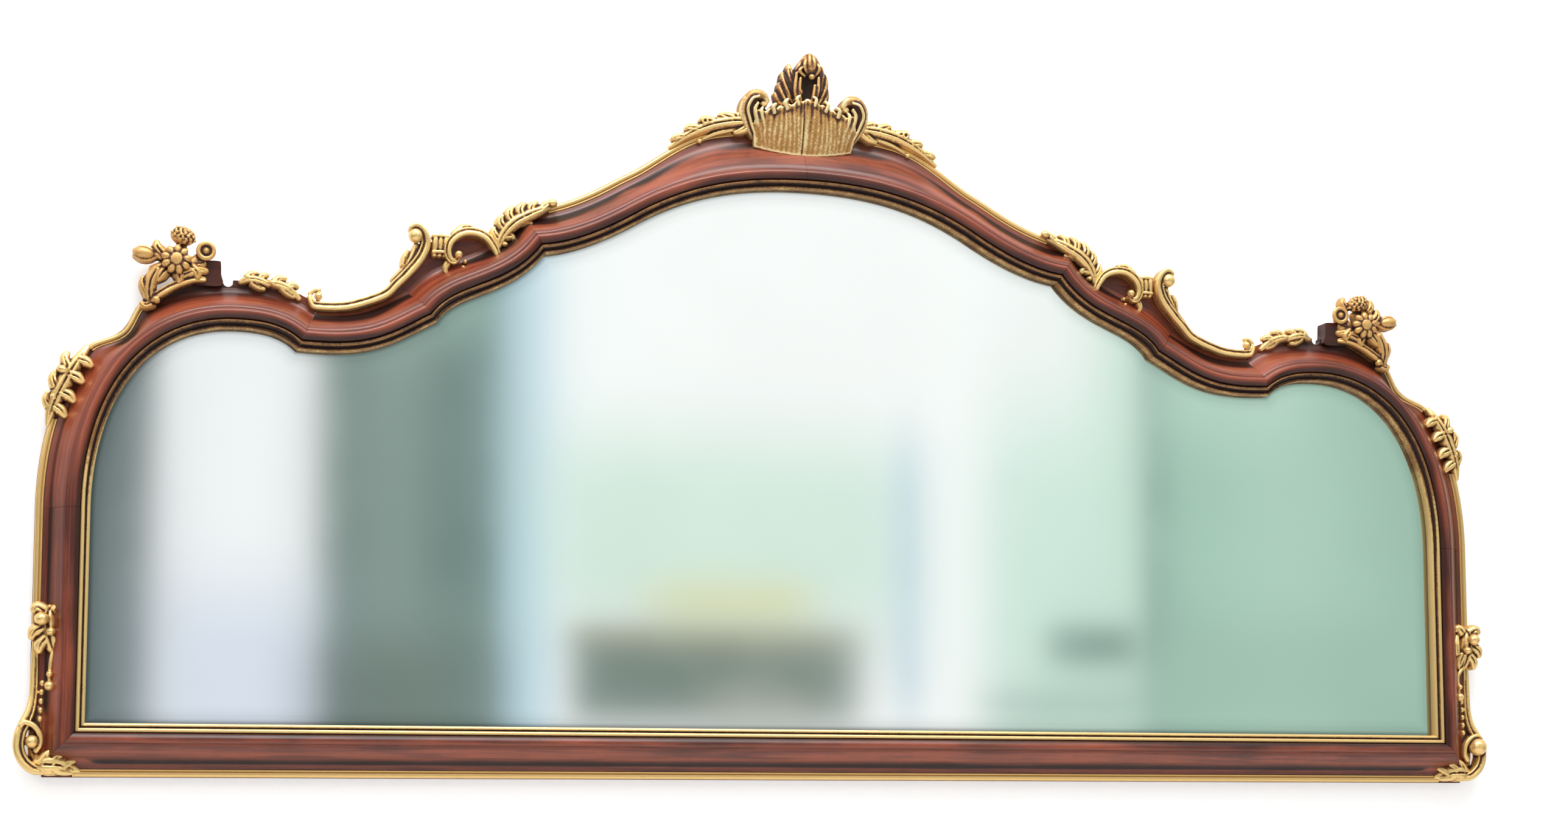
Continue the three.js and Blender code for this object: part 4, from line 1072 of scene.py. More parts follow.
def addParts(bm, spot, parts):
    for section, rows, *options in parts.get("strokes", []):
        addStroke(bm, moved(spot, rows), section, *options)
    addLobes(bm, [moved(spot, rows) for rows in parts.get("lobes", [])], parts.get("fuller"))
    for shape in moved(spot, parts.get("buds", [])):
        addBud(bm, *shape)
    for shape in moved(spot, parts.get("rings", [])):
        addRing(bm, *shape)


def carve(name, node, slot, material, build, mirror=False):
    bm = bmesh.new()
    build(bm)
    bmesh.ops.recalc_face_normals(bm, faces=bm.faces)

    def soften(helper):
        remesh = helper.modifiers.new("fuse", "REMESH")
        remesh.mode, remesh.voxel_size, remesh.use_smooth_shade = "VOXEL", carvingSettings["voxel"] * mm, True
        smooth = helper.modifiers.new("soften", "SMOOTH")
        smooth.factor, smooth.iterations = 0.5, carvingSettings["soften"]
    mesh = withModifiers(name, toMesh(name, bm), soften)
    bm = bmesh.new()
    bm.from_mesh(mesh)
    bpy.data.meshes.remove(mesh)
    stopped(bm, place(0, 0, carvingSettings["back"]), (0, -1, 0))
    if mirror:
        mirrorOver(bm)
    finishPiece(name, toMesh(name, bm), material, slot, [node], crease=None, passes=14, reach=0.001)


def carvePair(name, node, slot, material, build):
    for hand in ("right", "left"):
        carve(
            name + hand.capitalize(), f"{node}_{hand}", slot, material, lambda bm: build(bm, hand),
            mirror=hand == "left",
        )


def laidOut(anchor, settings):
    return lambda bm, hand: addParts(bm, anchors[anchor], settings)


sideKnotSettings = {
    "shift": {"right": (3, 0), "left": (-8, -9)}, "berryLine": -21,
    "strokes": [
        ("leaf", [(-12, 26, 3.5, 26), (-9, 16, 9, 31), (-10, 0, 11, 32), (-13, -14, 9, 31), (-17, -26, 4, 27)]),
        ("leaf", [(-24, 16, 3, 28), (-28, 4, 5.5, 33), (-26, -8, 4.5, 31)]),
    ],
    "lobes": [
        [(-6, 20, 5, 30), (2, 24, 4.5, 31), (7, 20, 2.5, 29)],
        [(-4, 2, 5.5, 32), (4, -3, 5, 32), (8, -10, 2.5, 28)],
        [(-8, -10, 5, 32), (-2, -18, 4.5, 31), (-1, -26, 2, 27)],
        [(-18, -8, 4.5, 32), (-22, -18, 4, 30), (-21, -27, 1.8, 27)],
        [(-16, 20, 4.5, 30), (-22, 25, 4, 30), (-28, 23, 2, 27)],
    ],
    "buds": [(-3, 11, 28, 8.5, 8, 11, 20), (-13, -3, 29, 5.5, 5, 8)],
}


def sideKnot(bm, hand):
    dx, dy = sideKnotSettings["shift"][hand]
    spot = (anchors["side"][0] + dx, anchors["side"][1] + dy)
    line = sideKnotSettings["berryLine"] - dx    # both knots hang their berries at the same distance
    addParts(bm, spot, sideKnotSettings)
    addParts(bm, spot, {
        "strokes": [("round", [(-16, -24, 2.4, 28), (line - 1, -36, 2.2, 29), (line, -52, 2.0, 28), (line, -66, 1.8, 28)])],
        "buds": [(line, -50, 27, 3.8, 3.8, 6), (line, -63, 27, 5.6, 5.6, 7)],
    })


cornerVoluteSettings = {
    "strokes": [
        ("scroll", [
            (-4.5, 150, 3.6, 18), (-4.5, 130, 4.2, 18.5), (-4.5, 112, 4.4, 19), (-4, 90, 4.6, 20), (-1.5, 74, 5.2, 23),
            (4, 60, 6, 27), (9, 47, 6.2, 29), (10, 32, 6.2, 29), (5, 19, 6, 29), (-6, 9, 5.8, 28), (-18, 7, 4.6, 24),
        ], 60),
        ("round", [(-10, 78, 5, 17), (-10, 60, 8, 18), (-8, 36, 11, 18), (-10, 14, 8, 17)]),
        (
            "round",
            [
                (9, 56, 3.4, 29), (4, 60, 3.2, 29), (-5, 57, 3.0, 28), (-12, 48, 3.0, 27), (-13, 37, 3.0, 26),
                (-8, 28, 3, 25),
            ],
        ),
    ],
    "ball": {"right": (4, 46, 26, 11.5, 11.5, 12.5), "left": (-4, 39, 23, 7.5, 7.5, 8.5)},
    "pearls": 5, "pearl": (-13.5, 104, 17.5, 3.1, 3.8, 4.2), "pearlStep": (0.4, -10),
}


def cornerVolute(bm, hand):
    settings = cornerVoluteSettings
    addParts(bm, anchors["corner"], {**settings, "buds": [settings["ball"][hand]]})
    half, height, *shape = settings["pearl"]
    dx, dy = settings["pearlStep"]
    addParts(
        bm, anchors["corner"], {"buds": [(half + dx * i, height + dy * i, *shape) for i in range(settings["pearls"])]}
    )


cornerLeafSettings = {
    "leaf": {
        "right": [(-8, 12, 7, 25), (-20, 13, 11.5, 29), (-34, 12, 10, 28), (-46, 9, 5.5, 23), (-54, 7, 2, 19)],
        "left": [(-8, 13, 8, 25), (-20, 14, 12.5, 29), (-34, 13, 11, 28), (-46, 10, 6, 24), (-56, 7, 2, 19)],
    },
    "lobes": [
        [(-14, 14, 5, 28), (-19, 23, 4.2, 28), (-24, 29, 1.8, 26)],
        [(-26, 15, 5, 29), (-32, 22, 4, 28), (-38, 26, 1.6, 26)],
        [(-38, 11, 4.5, 27), (-45, 16, 3.4, 25), (-51, 18, 1.5, 22)],
        [(-30, 9, 5, 28), (-40, 6, 3.6, 26), (-48, 4.4, 1.6, 22)],
    ],
    "fuller": 1.25,    # slimmer, so that they stay above the foot of the frame
}


def cornerLeaf(bm, hand):
    settings = cornerLeafSettings
    addParts(bm, anchors["corner"], {**settings, "strokes": [("leaf", settings["leaf"][hand], None, 0.7)]})


shoulderLeafSettings = {
    "strokes": [("leaf", [
        (
            17, -52, 2.2, 19,
        ), (13, -34, 6.5, 25), (4, -12, 9, 30), (-7, 10, 9, 31), (-18, 29, 5.5, 27), (-25, 40, 3.2, 22),
    ], None, 0.8)],
    "lobes": [
        [(9, -30, 5, 27), (2, -35, 4, 27), (-3, -42, 1.8, 25)],
        [(3, -14, 5.5, 30), (-6, -18, 4.6, 30), (-12, -25, 1.8, 28)],
        [(-5, 6, 5.5, 31), (-14, 3, 4.6, 32), (-21, -3, 1.8, 30)],
        [(-15, 24, 5, 29), (-24, 21, 4, 30), (-30, 16, 1.8, 29)],
        [(15, -30, 4, 25), (18.5, -22, 3.4, 25), (17, -14, 1.6, 24)],
        [(9, -8, 4.5, 29), (12, 2, 3.6, 28), (9, 10, 1.6, 26)],
        [(-3, 16, 4.5, 30), (0, 25, 3.6, 28), (-4, 32, 1.6, 25)],
    ],
    "buds": [(2, 11, 26, 7, 5, 7, 25), (11, -20, 23, 5, 4, 6, 60)],
}
finialScrollSettings = {
    "strokes": [
        ("leaf", [(12, -22, 5, 26), (16, -8, 7.5, 31), (14.5, 8, 8, 33), (8, 22, 6.5, 33)]),
        ("scroll", [(14, -14, 5, 30), (2, -5, 5, 31), (-14, 5, 4.8, 30), (-32, 12, 4.2, 29), (-46, 13, 3, 26)]),
        ("leaf", [(-20, 16, 6.5, 31), (-36, 22, 7, 31), (-48, 23, 3.6, 27)]),
    ],
    "lobes": [
        [(17, -4, 5, 31), (22, 4, 4, 30), (23, 12, 1.8, 28)],
        [(14, -18, 4.5, 29), (20, -20, 3.6, 28), (25, -17, 1.6, 26)],
    ],
    "buds": [(8, -14, 28, 5, 4, 5, 50)],
}
finialBouquetSettings = {
    "strokes": [
        ("leaf", [(14, 20, 6, 29), (-4, 26, 8, 30), (-24, 28, 8, 30), (-44, 32, 6, 28)]),
        ("round", [(-14, 30, 7, 30), (-19, 50, 7, 30)]),
        ("round", [(-30, 30, 7, 29), (-44, 42, 6, 29)]),
        ("round", [(-4, 34, 4, 30), (10, 38, 3.4, 30), (20, 38, 3, 30)]),
        # husk of the side bud
        ("round", [(10, 36, 3, 29), (16, 44.5, 2.2, 30), (26, 46.5, 1.8, 30), (35, 42, 1.2, 29)], 12),
        ("round", [(10, 36, 3, 29), (17, 31.5, 2.2, 30), (27, 31.5, 1.8, 30), (35, 37, 1.2, 29)], 12),
    ],
    "lobes": [
        [(2, 40, 5, 30), (8, 47, 4.6, 30), (9, 55, 1.8, 27)],
        [(-30, 26, 5, 31), (-36, 20, 4.4, 32), (-38, 13, 1.8, 30)],
        [(-2, 22, 5, 32), (4, 14, 4.4, 33), (7, 8, 1.8, 31)],
        [(-14, 22, 4.6, 33), (-17, 13, 4, 33), (-16, 7, 1.6, 31)],
    ],
    # eye of the boss flower, top flower, rosette and its eye, side bud
    "buds": [
        (-13, 33, 35, 9.4, 9.4, 5.4), (
            -20, 61, 28, 14.5, 11, 10, 12,
        ), (-46, 45, 27, 10, 10, 5), (-46, 45, 31, 3.4, 3.4, 4.6),
        (23, 39, 27, 12, 7.4, 8, 8),
    ],
    "rings": [(-13, 33, 38.4, 5.2, 1.3), (-46, 45, 30.5, 8.8, 2.7)],
    "boss": (-13, 33, 33.5, 10, 9, 6.6, 15),
    "bristles": 26, "bristle": (2.4, 1.7, 2.4), "bristling": (-20, 61, 28), "spread": (13.5, 10), "crown": 9.4,
    # the right one is carved a little frillier than its pair
    "frills": {
        "right": [
            [(-4, 52, 4, 29), (1, 60, 3.4, 28), (0, 67, 1.5, 26)],
            [(-34, 54, 4, 29), (-39, 62, 3.4, 28), (-38, 69, 1.5, 26)],
        ],
        "left": [],
    },
}


def finialBouquet(bm, hand):
    settings, spot = finialBouquetSettings, anchors["finial"]
    addParts(bm, spot, settings)
    addParts(bm, spot, {"lobes": settings["frills"][hand]})
    addPetals(bm, *moved(spot, [settings["boss"]])[0])
    half, height, lift = moved(spot, [settings["bristling"]])[0]
    for i in range(settings["bristles"]):
        turn, reach = 2.4 * i, math.sqrt((i + 0.5) / settings["bristles"])
        dx, dy = (spread * reach * wave for spread, wave in zip(settings["spread"], (math.cos(turn), math.sin(turn))))
        deep = lift + settings["crown"] * math.sqrt(max(0.05, 1 - reach * reach))
        addBud(bm, half + dx, height + dy + 0.2 * dx, deep, *settings["bristle"], math.degrees(turn))


topSpraySettings = {
    "strokes": [
        ("leaf", [(42, 0, 2.6, 22), (32, 4, 5.2, 26), (20, 3, 5.4, 27), (8, -1, 3.6, 25)]),
        ("leaf", [(12, 1, 3.6, 25), (0, 0, 5.4, 27), (-14, -5, 5.2, 26), (-27, -16, 2.6, 21)]),
    ],
    "lobes": [
        [(33, 5, 3.8, 26), (28, 10, 3.2, 25), (22, 12.5, 1.5, 23)],
        [(20, 4, 3.6, 26), (15, 9, 3, 25), (9, 10.5, 1.4, 23)],
        [(2, 2, 3.8, 26), (-4, 6.5, 3.2, 25), (-11, 7.5, 1.5, 23)],
        [(-12, -3, 3.6, 26), (-19, -0.5, 3, 25), (-25, -2, 1.4, 22)],
        [(28, 1, 3.4, 26), (20, -4.5, 2.8, 25), (13, -6.5, 1.3, 23)],
        [(-6, -3, 3.4, 26), (-13, -10, 2.8, 25), (-20, -14, 1.3, 22)],
    ],
    "buds": [(5, 1, 24, 3.6, 3.4, 4)],
}
longScrollSettings = {
    "foot": [
        (-14, 66, 2.8, 22), (-17, 58, 4, 23), (-21.7, 55, 5.4, 23), (-43, 54.6, 5.6, 24.5), (-64.4, 57.9, 5.6, 26),
        (-98.3, 70.9, 5.6, 28),
    ],
    "top": [
        (47, 44, 5.6, 29), (33, 59, 5.8, 30), (20, 76, 6, 31), (14, 92, 6, 32), (16, 104, 5.4, 33),
        (24, 112, 4.8, 33), (32, 109, 3.6, 32),
    ],
    "steps": 90,
    "atDip": {
        "strokes": [("round", [(-14, 68, 2.6, 21), (-19, 73, 2.4, 21), (-26, 73.5, 2.2, 21)])],
        "buds": [(-24, 66, 20, 4.8, 4.8, 6)],
    },
    "atKnee": {
        "strokes": [("leaf", [(52, 48, 3, 22), (37, 62, 5.4, 26), (27, 80, 5.4, 27), (24, 92, 3.4, 27)])],
        "lobes": [[(38, 66, 3.2, 25), (37, 76, 2.8, 25), (34, 84, 1.3, 24)]],
        "buds": [(26, 101, 29, 8.6, 8.6, 8.6)],
    },
}


def longScroll(bm, hand):
    settings, dip, knee = longScrollSettings, anchors["dip"], anchors["knee"]
    addStroke(bm, moved(dip, settings["foot"]) + moved(knee, settings["top"]), "scroll", settings["steps"])
    addParts(bm, dip, settings["atDip"])
    addParts(bm, knee, settings["atKnee"])


# rows as for a stroke, and last the distance from flute to flute
linkBlockSettings = {
    "flutes": (-1, 0, 1), "flute": [
        (-3, 80, 2.9, 24, 6.2), (-3.5, 90, 3.3, 28, 6), (-4, 100, 3.2, 28.5, 5.8), (-4, 106, 2.8, 26, 5.6),
    ],
    "bands": [(84, 27), (103, 28.5)], "bandHalf": 1.7, "shoulder": 2,
}


def linkBlock(bm, hand):
    settings, knee = linkBlockSettings, anchors["knee"]
    for flute in settings["flutes"]:
        rows = [(half + apart * flute, height, width, lift) for half, height, width, lift, apart in settings["flute"]]
        half, height, *rest = rows[-1]
        rows[-1] = (half, height - settings["shoulder"] * abs(flute), *rest)
        addStroke(bm, moved(knee, rows), steps=14)
    thin = settings["bandHalf"]
    for height, lift in settings["bands"]:
        addStroke(
            bm,
            moved(knee, [(6, height, thin, lift), (-4, height + 0.6, thin, lift + 0.6), (-13, height, thin, lift)]),
            steps=8,
        )


smallScrollSettings = {
    "strokes": [("scroll", [
        (-25, 79, 3, 27), (-20, 74, 3.6, 28), (-14, 78, 4.2, 29), (-12, 88, 4.8, 30), (
            -17, 100, 5.2, 31,
        ), (-30, 109, 5.2, 31),
        (-45, 110, 5.2, 31), (-58, 105, 5, 30), (-67, 94, 4.6, 29), (-72, 82, 3.6, 28), (-70, 74, 2.6, 26),
    ], 80)],
    "lobes": [
        [(-20, 106, 3.4, 30), (-30, 115, 3, 29), (-40, 117, 1.6, 27)],
        [(-14, 74, 2.8, 26), (-10, 66, 2.4, 25), (-12, 60, 1.3, 23)],
    ],
    "buds": [
        (-25, 82, 28, 4.6, 4.6, 5.6), (-67, 74, 25, 3, 3, 4), (-33, 75, 22, 3, 2.4, 5, 40),
        (-31, 68, 22, 3, 2.4, 5, 40),
    ],
}
acanthusSettings = {
    "strokes": [("leaf", [
        (-70, 92, 3.6, 26), (-78, 110, 7, 30), (
            -90, 124, 8.5, 32,
        ), (-106, 134, 8, 31), (-120, 141, 6, 29), (-134, 147, 3, 23),
    ], None, 0.8)],
    "lobes": [
        [(-73, 102, 4.6, 28), (-67, 110, 4, 28), (-66, 118, 1.6, 26)],
        [(-80, 114, 5, 30), (-74, 124, 4.4, 29), (-76, 133, 1.6, 27)],
        [(-89, 124, 5, 31), (-84, 134, 4.4, 30), (-88, 144, 1.6, 27)],
        [(-99, 131, 4.8, 31), (-97, 141, 4.2, 30), (-103, 150, 1.6, 27)],
        [(-110, 137, 4.4, 30), (-111, 145, 3.8, 29), (-118, 152, 1.5, 26)],
        [(-80, 108, 4, 29), (-87, 108, 3.2, 28), (-91, 105, 1.5, 26)],
        [(-98, 126, 4, 30), (-106, 127, 3.2, 28), (-112, 125, 1.4, 25)],
        [(-122, 142, 3.6, 28), (-130, 150, 3, 26), (-139, 152, 1.4, 22)],
    ],
    "buds": [(-80, 98, 24, 3.4, 3, 6), (-137, 152, 21, 6, 5.4, 6)],    # the second is where the bead starts
}

# rows here start with the share of the arch from its cusp and the distance outside the moulding
crestSpraySettings = {
    "spine": [(0.57, 1, 2.2, 20), (0.62, 4, 5.4, 25), (0.7, 6, 8, 29), (0.77, 7, 8.6, 31), (0.835, 5, 6.4, 31)],
    "tendril": [(0.8, 1, 2.6, 27), (0.76, -3, 3, 26), (0.71, -5, 2.6, 24), (0.67, -7, 1.8, 21)],
    "lobes": [
        [(0.61, 5, 3.4, 24), (0.59, 8, 2.8, 24), (0.575, 8.5, 1.4, 22)],
        [(0.655, 7, 4.2, 27), (0.635, 11, 3.6, 26), (0.62, 12, 1.5, 24)],
        [(0.71, 9, 4.6, 29), (0.69, 14, 4, 28), (0.67, 15.5, 1.6, 25)],
        [(0.765, 10, 4.6, 31), (0.745, 15, 4, 29), (0.725, 17.5, 1.6, 26)],
        [(0.815, 8, 4.4, 31), (0.795, 13, 3.6, 30), (0.78, 16, 1.6, 27)],
        [(0.81, 0, 4, 30), (0.79, -5, 3.4, 29), (0.765, -7, 1.5, 26)],
    ],
    "bud": (0.665, -8, 18, 3.6, 3.4, 4), "eyes": [(0.69, 12, 28, 3.2, 1.3), (0.79, 12, 28, 3.2, 1.3)],
}


def alongCrest(rows):
    stations = stationsAlong(sections["arch"], 4)
    result = []
    for share, extra, *rest in rows:
        station = min(stations, key=lambda item: abs(item["share"] - share))
        point = station["point"] + station["out"] * (sight["railWidth"] + archRise(station) + extra)
        result.append((point.x, point.y, *rest))
    return result


def crestSpray(bm, hand):
    settings = crestSpraySettings
    addStroke(bm, alongCrest(settings["spine"]), "leaf")
    addLobes(bm, [alongCrest(rows) for rows in settings["lobes"]])
    addStroke(bm, alongCrest(settings["tendril"]), "round", 16)
    addBud(bm, *alongCrest([settings["bud"]])[0])
    for eye in alongCrest(settings["eyes"]):
        addRing(bm, *eye)


crestShellSettings = {
    "ribs": 11, "foot": 62, "top": 63, "waist": 2, "low": -18, "groove": 0.7, "line": 0.55, "joint": (
        -3, 1.1, 2.6,
    ), "rows": 34,
    # the ears
    "strokes": [
        (
            "round",
            [
                (62, 2, 3, 27), (67, 14, 6, 32), (73, 28, 8, 37), (72, 42, 8.6, 40.5), (64, 52, 8, 42),
                (54, 52, 6.2, 41), (48, 45, 4, 38),
            ],
            50,
        ),
        ("round", [(63, 6, 1.2, 33), (69, 20, 1.8, 38), (73, 34, 1.8, 42), (68, 46, 1.8, 44.5), (59, 50, 1.4, 43)], 30),
        ("round", [(55, 6, 1.4, 34), (60, 20, 2.8, 38), (64, 34, 2.6, 40), (60, 43, 1.8, 40)], 20),
        ("round", [(50, 8, 1.4, 36), (53, 20, 2.4, 39), (56, 32, 2.4, 40.5), (54, 38, 1.6, 39)], 20),
        ("round", [(52, 0, 9, 28), (57, 20, 12, 32), (57, 38, 11, 33)], 16),
    ],
    "eye": (52, 43, 32, 5, 5, 6),
    "curls": [
        [
            (40, 30, 2.6, 43), (42, 38, 2.6, 44.5), (38, 42, 1.8, 43.5),
        ], [(24, 36, 2.6, 44), (27, 44, 2.6, 45), (23, 49, 1.8, 44)],
        [(10, 42, 2.4, 44.5), (12, 50, 2.4, 45), (8, 54, 1.6, 44)],
    ],
}


def shellPoint(across, up):
    settings = crestShellSettings
    rib = (across + 1 + 0.02 * math.sin(9 * across + 4 * up)) / 2 * settings["ribs"]
    broad, fine = abs(math.sin(math.pi * rib)), abs(math.sin(2 * math.pi * rib))
    foot = 9 * across * across + 0.5 * broad
    lip = 65 - 16 * min(
        abs(across) / 0.8, 1,
    ) ** 1.5 + 2.4 * math.sin(math.pi * rib) ** 2 + 1.5 * math.sin(7 * across + 1)
    half = across * (settings["foot"] + (settings["top"] - settings["foot"]) * up + settings["waist"] * math.sin(math.pi * up))
    front = 30 + 13 * math.sin(up * math.pi * 0.6) - 6 * across * across
    front -= (settings["groove"] * (1 - broad) + settings["line"] * (1 - fine)) * (0.4 + 0.6 * up)
    front += 1.4 * smoothStep(0.84, 0.98, up)    # the lip rolls forward
    spot, wide, deep = settings["joint"]
    front -= deep * max(0, 1 - abs(half - spot) / wide)
    return half, settings["low"] + foot + (lip - foot) * up, front


def crestShell(bm):
    settings = crestShellSettings
    cx, cz = anchors["crest"]
    bmesh.ops.create_grid(bm, x_segments=settings["ribs"] * 14, y_segments=settings["rows"], size=1)
    for vert in bm.verts:
        half, height, front = shellPoint(vert.co.x, (vert.co.y + 1) / 2)
        vert.co = place(cx + half, cz + height, front)
    made = bmesh.ops.extrude_edge_only(bm, edges=[edge for edge in bm.edges if edge.is_boundary])["geom"]
    for vert in newVerts(made):
        vert.co.y = -carvingSettings["back"] * mm
    bmesh.ops.holes_fill(bm, edges=[edge for edge in bm.edges if edge.is_boundary], sides=0)
    for side in (-1, 1):
        def turned(rows):
            return [(cx + side * half, cz + height, *rest) for half, height, *rest in rows]
        for section, rows, steps in settings["strokes"]:
            addStroke(bm, turned(rows), section, steps)
        addBud(bm, *turned([settings["eye"]])[0])
        for rows in settings["curls"]:
            addStroke(bm, turned(rows), steps=10)


crestPlumeSettings = {
    "strokes": [("cupped", [(-1, 34, 15, 29), (1, 52, 18.5, 32), (3, 72, 19, 35), (5, 88, 17, 37), (7, 100, 12, 36)], 40, 0.5)],
    # crown and two beads
    "buds": [(6.5, 94, 31, 13.5, 16.5, 12), (7, 79, 40, 3.8, 3.4, 4.4), (-6, 60, 36, 2.4, 3.6, 3.6)],
    "lobes": [
        [(-12, 40, 5, 31), (-22, 52, 5.5, 34), (-28, 64, 4, 33), (-31, 72, 1.4, 30)],
        [(-12, 48, 5, 32), (-20, 64, 5, 35), (-25, 76, 3.6, 34), (-27, 85, 1.4, 30)],
        [(-11, 58, 4.5, 34), (-16, 74, 4.4, 36), (-19, 88, 3, 34), (-19, 96, 1.3, 31)],
        [(-14, 38, 4, 31), (-25, 44, 4, 32), (-32, 52, 2.8, 31), (-36, 60, 1.4, 28)],
        [(14, 40, 5, 31), (22, 50, 5, 34), (27, 60, 3.6, 33), (29, 70, 1.4, 30)],
        [(14, 48, 5, 32), (22, 62, 4.6, 35), (26, 76, 3.4, 34), (27, 86, 1.4, 30)],
        [(15, 60, 4, 34), (20, 76, 3.8, 36), (22, 88, 2.6, 34), (22, 96, 1.3, 31)],
    ],
    # over the crown
    "middle": 6.5, "ridges": [(-8, 8, 80), (-2, 13.5, 83), (4, 16, 85), (10, 15.5, 84), (16, 12, 81)],
    "hollow": [(40, 84, -13), (40, 78, -8), (42, 80, 15), (40, 70, 10)],    # edges of the dark hollow
}


def crestPlume(bm):
    settings, spot = crestPlumeSettings, anchors["crest"]
    addParts(bm, spot, settings)
    middle = settings["middle"]
    for half, reach, low in settings["ridges"]:
        away = half - middle
        rows = [(middle + away * 0.5, low, 1.4, 39), (half, low + reach * 0.55, 1.9, 43.2)]
        rows += [
            (middle + away * 0.9, low + reach * 1.1, 1.7, 42.5), (middle + away * 0.55, low + reach * 1.55, 1.2, 38),
        ]
        addStroke(bm, moved(spot, rows), "round", 20)
    for low, high, half in settings["hollow"]:
        rows = [(half * 0.5, low, 2, 35), (half, (low + high) / 2, 2.6, 39.5), (half + 1.5, high, 1.5, 40)]
        addStroke(bm, moved(spot, rows), steps=16)


carvePair("sideKnot", "side_knot", "carving", brightGilt, sideKnot)
carvePair("cornerVolute", "corner_volute", "carving", brightGilt, cornerVolute)
carvePair("cornerLeaf", "corner_leaf", "carving", brightGilt, cornerLeaf)
carvePair("shoulderLeaf", "shoulder_leaf", "carving", brightGilt, laidOut("leaf", shoulderLeafSettings))
carvePair("finialScroll", "finial_scroll", "aged_carving", agedGilt, laidOut("finial", finialScrollSettings))
carvePair("finialBouquet", "finial_bouquet", "aged_carving", agedGilt, finialBouquet)
carvePair("topSpray", "top_spray", "carving", brightGilt, laidOut("spray", topSpraySettings))
carvePair("longScroll", "long_scroll", "carving", brightGilt, longScroll)
carvePair("linkBlock", "link_block", "aged_carving", brightGilt, linkBlock)
carvePair("smallScroll", "small_scroll", "carving", brightGilt, laidOut("knee", smallScrollSettings))
carvePair("acanthus", "acanthus", "carving", brightGilt, laidOut("knee", acanthusSettings))
carvePair("crestSpray", "crest_spray", "carving", brightGilt, crestSpray)
carve("crestShell", "crest_shell", "carving", shellGilt, crestShell)
carve("crestPlume", "crest_plume", "aged_carving", plumeGilt, crestPlume)
print("carving is cut")


# Plate and back. The boards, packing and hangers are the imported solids, which only get a finish.

plateSettings = {
    "silver": (0.95, 0.99, 0.97), "edgeWearAndReflection": (0.13, 0.14, 0.13), "roughness": 0.065, "front": 22.3, "thick": 5,
    "insets": (12, 0, -5, -12, -24), "fading": (1, 1, 0.6, 0.25, 0),
}
softwoodSettings = {"light": (0.58, 0.38, 0.19), "dark": (0.34, 0.19, 0.085), "roughness": 0.72}
steelSettings = {"colour": (0.42, 0.41, 0.39), "rust": (0.14, 0.07, 0.035), "roughness": 0.38}


def makePlate():
    settings = plateSettings
    material, tree, shader = newMaterial("silveredGlass")
    space = objectSpace(tree)
    cloud = addNode(tree, "ShaderNodeTexNoise", {"Vector": space, "Scale": 3.0, "Detail": 3.0}).outputs["Fac"]
    tint = addRamp(tree, cloud, [(0.35, tuple(0.96 * c for c in settings["silver"])), (0.65, settings["silver"])])
    edge = addNode(tree, "ShaderNodeAttribute", attribute_name="edge").outputs["Fac"]
    # worn silvering with a painted reflection of the frame's dark inner side, darker toward the edge
    edgeWearAndReflection = addRamp(tree, edge, [(0.0, 0.0), (0.45, 0.16), (1.0, 0.75)])
    tree.links.new(mixColour(tree, edgeWearAndReflection, tint, settings["edgeWearAndReflection"]), shader.inputs["Base Color"])
    shader.inputs["Metallic"].default_value = 1.0
    soft = addRamp(tree, cloud, [(0.3, settings["roughness"] - 0.01), (0.7, settings["roughness"] + 0.01)])
    tree.links.new(soft, shader.inputs["Roughness"])
    return material


def makeSoftwood():
    settings = softwoodSettings
    material, tree, shader = newMaterial("planedSoftwood")
    space = objectSpace(tree, (0.5, 1, 9))
    rings = addNode(
        tree, "ShaderNodeTexNoise", {"Vector": space, "Scale": 3.2, "Detail": 3.0, "Distortion": 0.6},
    ).outputs["Fac"]
    waves = addMath(tree, "ABSOLUTE", addMath(tree, "SINE", addMath(tree, "MULTIPLY", rings, 46.0)))
    fibre = addNode(
        tree, "ShaderNodeTexNoise", {"Vector": objectSpace(tree, (6, 200, 400)), "Scale": 1.0, "Detail": 4.0},
    ).outputs["Fac"]
    figure = addMath(tree, "ADD", addMath(tree, "MULTIPLY", waves, 0.55), addMath(tree, "MULTIPLY", fibre, 0.5))
    colour = addRamp(tree, figure, [(0.15, settings["dark"]), (0.75, settings["light"])])
    tree.links.new(colour, shader.inputs["Base Color"])
    shader.inputs["Roughness"].default_value = settings["roughness"]
    addBump(tree, shader, figure, 0.0002, 0.4)
    return material


def makeSteel():
    settings = steelSettings
    material, tree, shader = newMaterial("stampedSteel")
    stain = addNode(
        tree, "ShaderNodeTexNoise", {"Vector": objectSpace(tree), "Scale": 60.0, "Detail": 5.0, "Roughness": 0.65},
    ).outputs["Fac"]
    colour = addRamp(tree, stain, [(0.52, settings["colour"]), (0.7, settings["rust"])])
    tree.links.new(colour, shader.inputs["Base Color"])
    shader.inputs["Metallic"].default_value = 0.9
    brushed = addNode(
        tree, "ShaderNodeTexNoise", {"Vector": objectSpace(tree, (20, 1, 900)), "Scale": 1.0, "Detail": 3.0},
    ).outputs["Fac"]
    tree.links.new(
        addRamp(tree, brushed, [(0.2, settings["roughness"] - 0.06), (0.8, settings["roughness"] + 0.1)]),
        shader.inputs["Roughness"],
    )
    addBump(tree, shader, addMath(tree, "ADD", brushed, stain), 0.0001, 0.3)
    return material


def coat(material, *nodes):
    for node in nodes:
        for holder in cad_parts[node].material_slots:
            holder.material = material


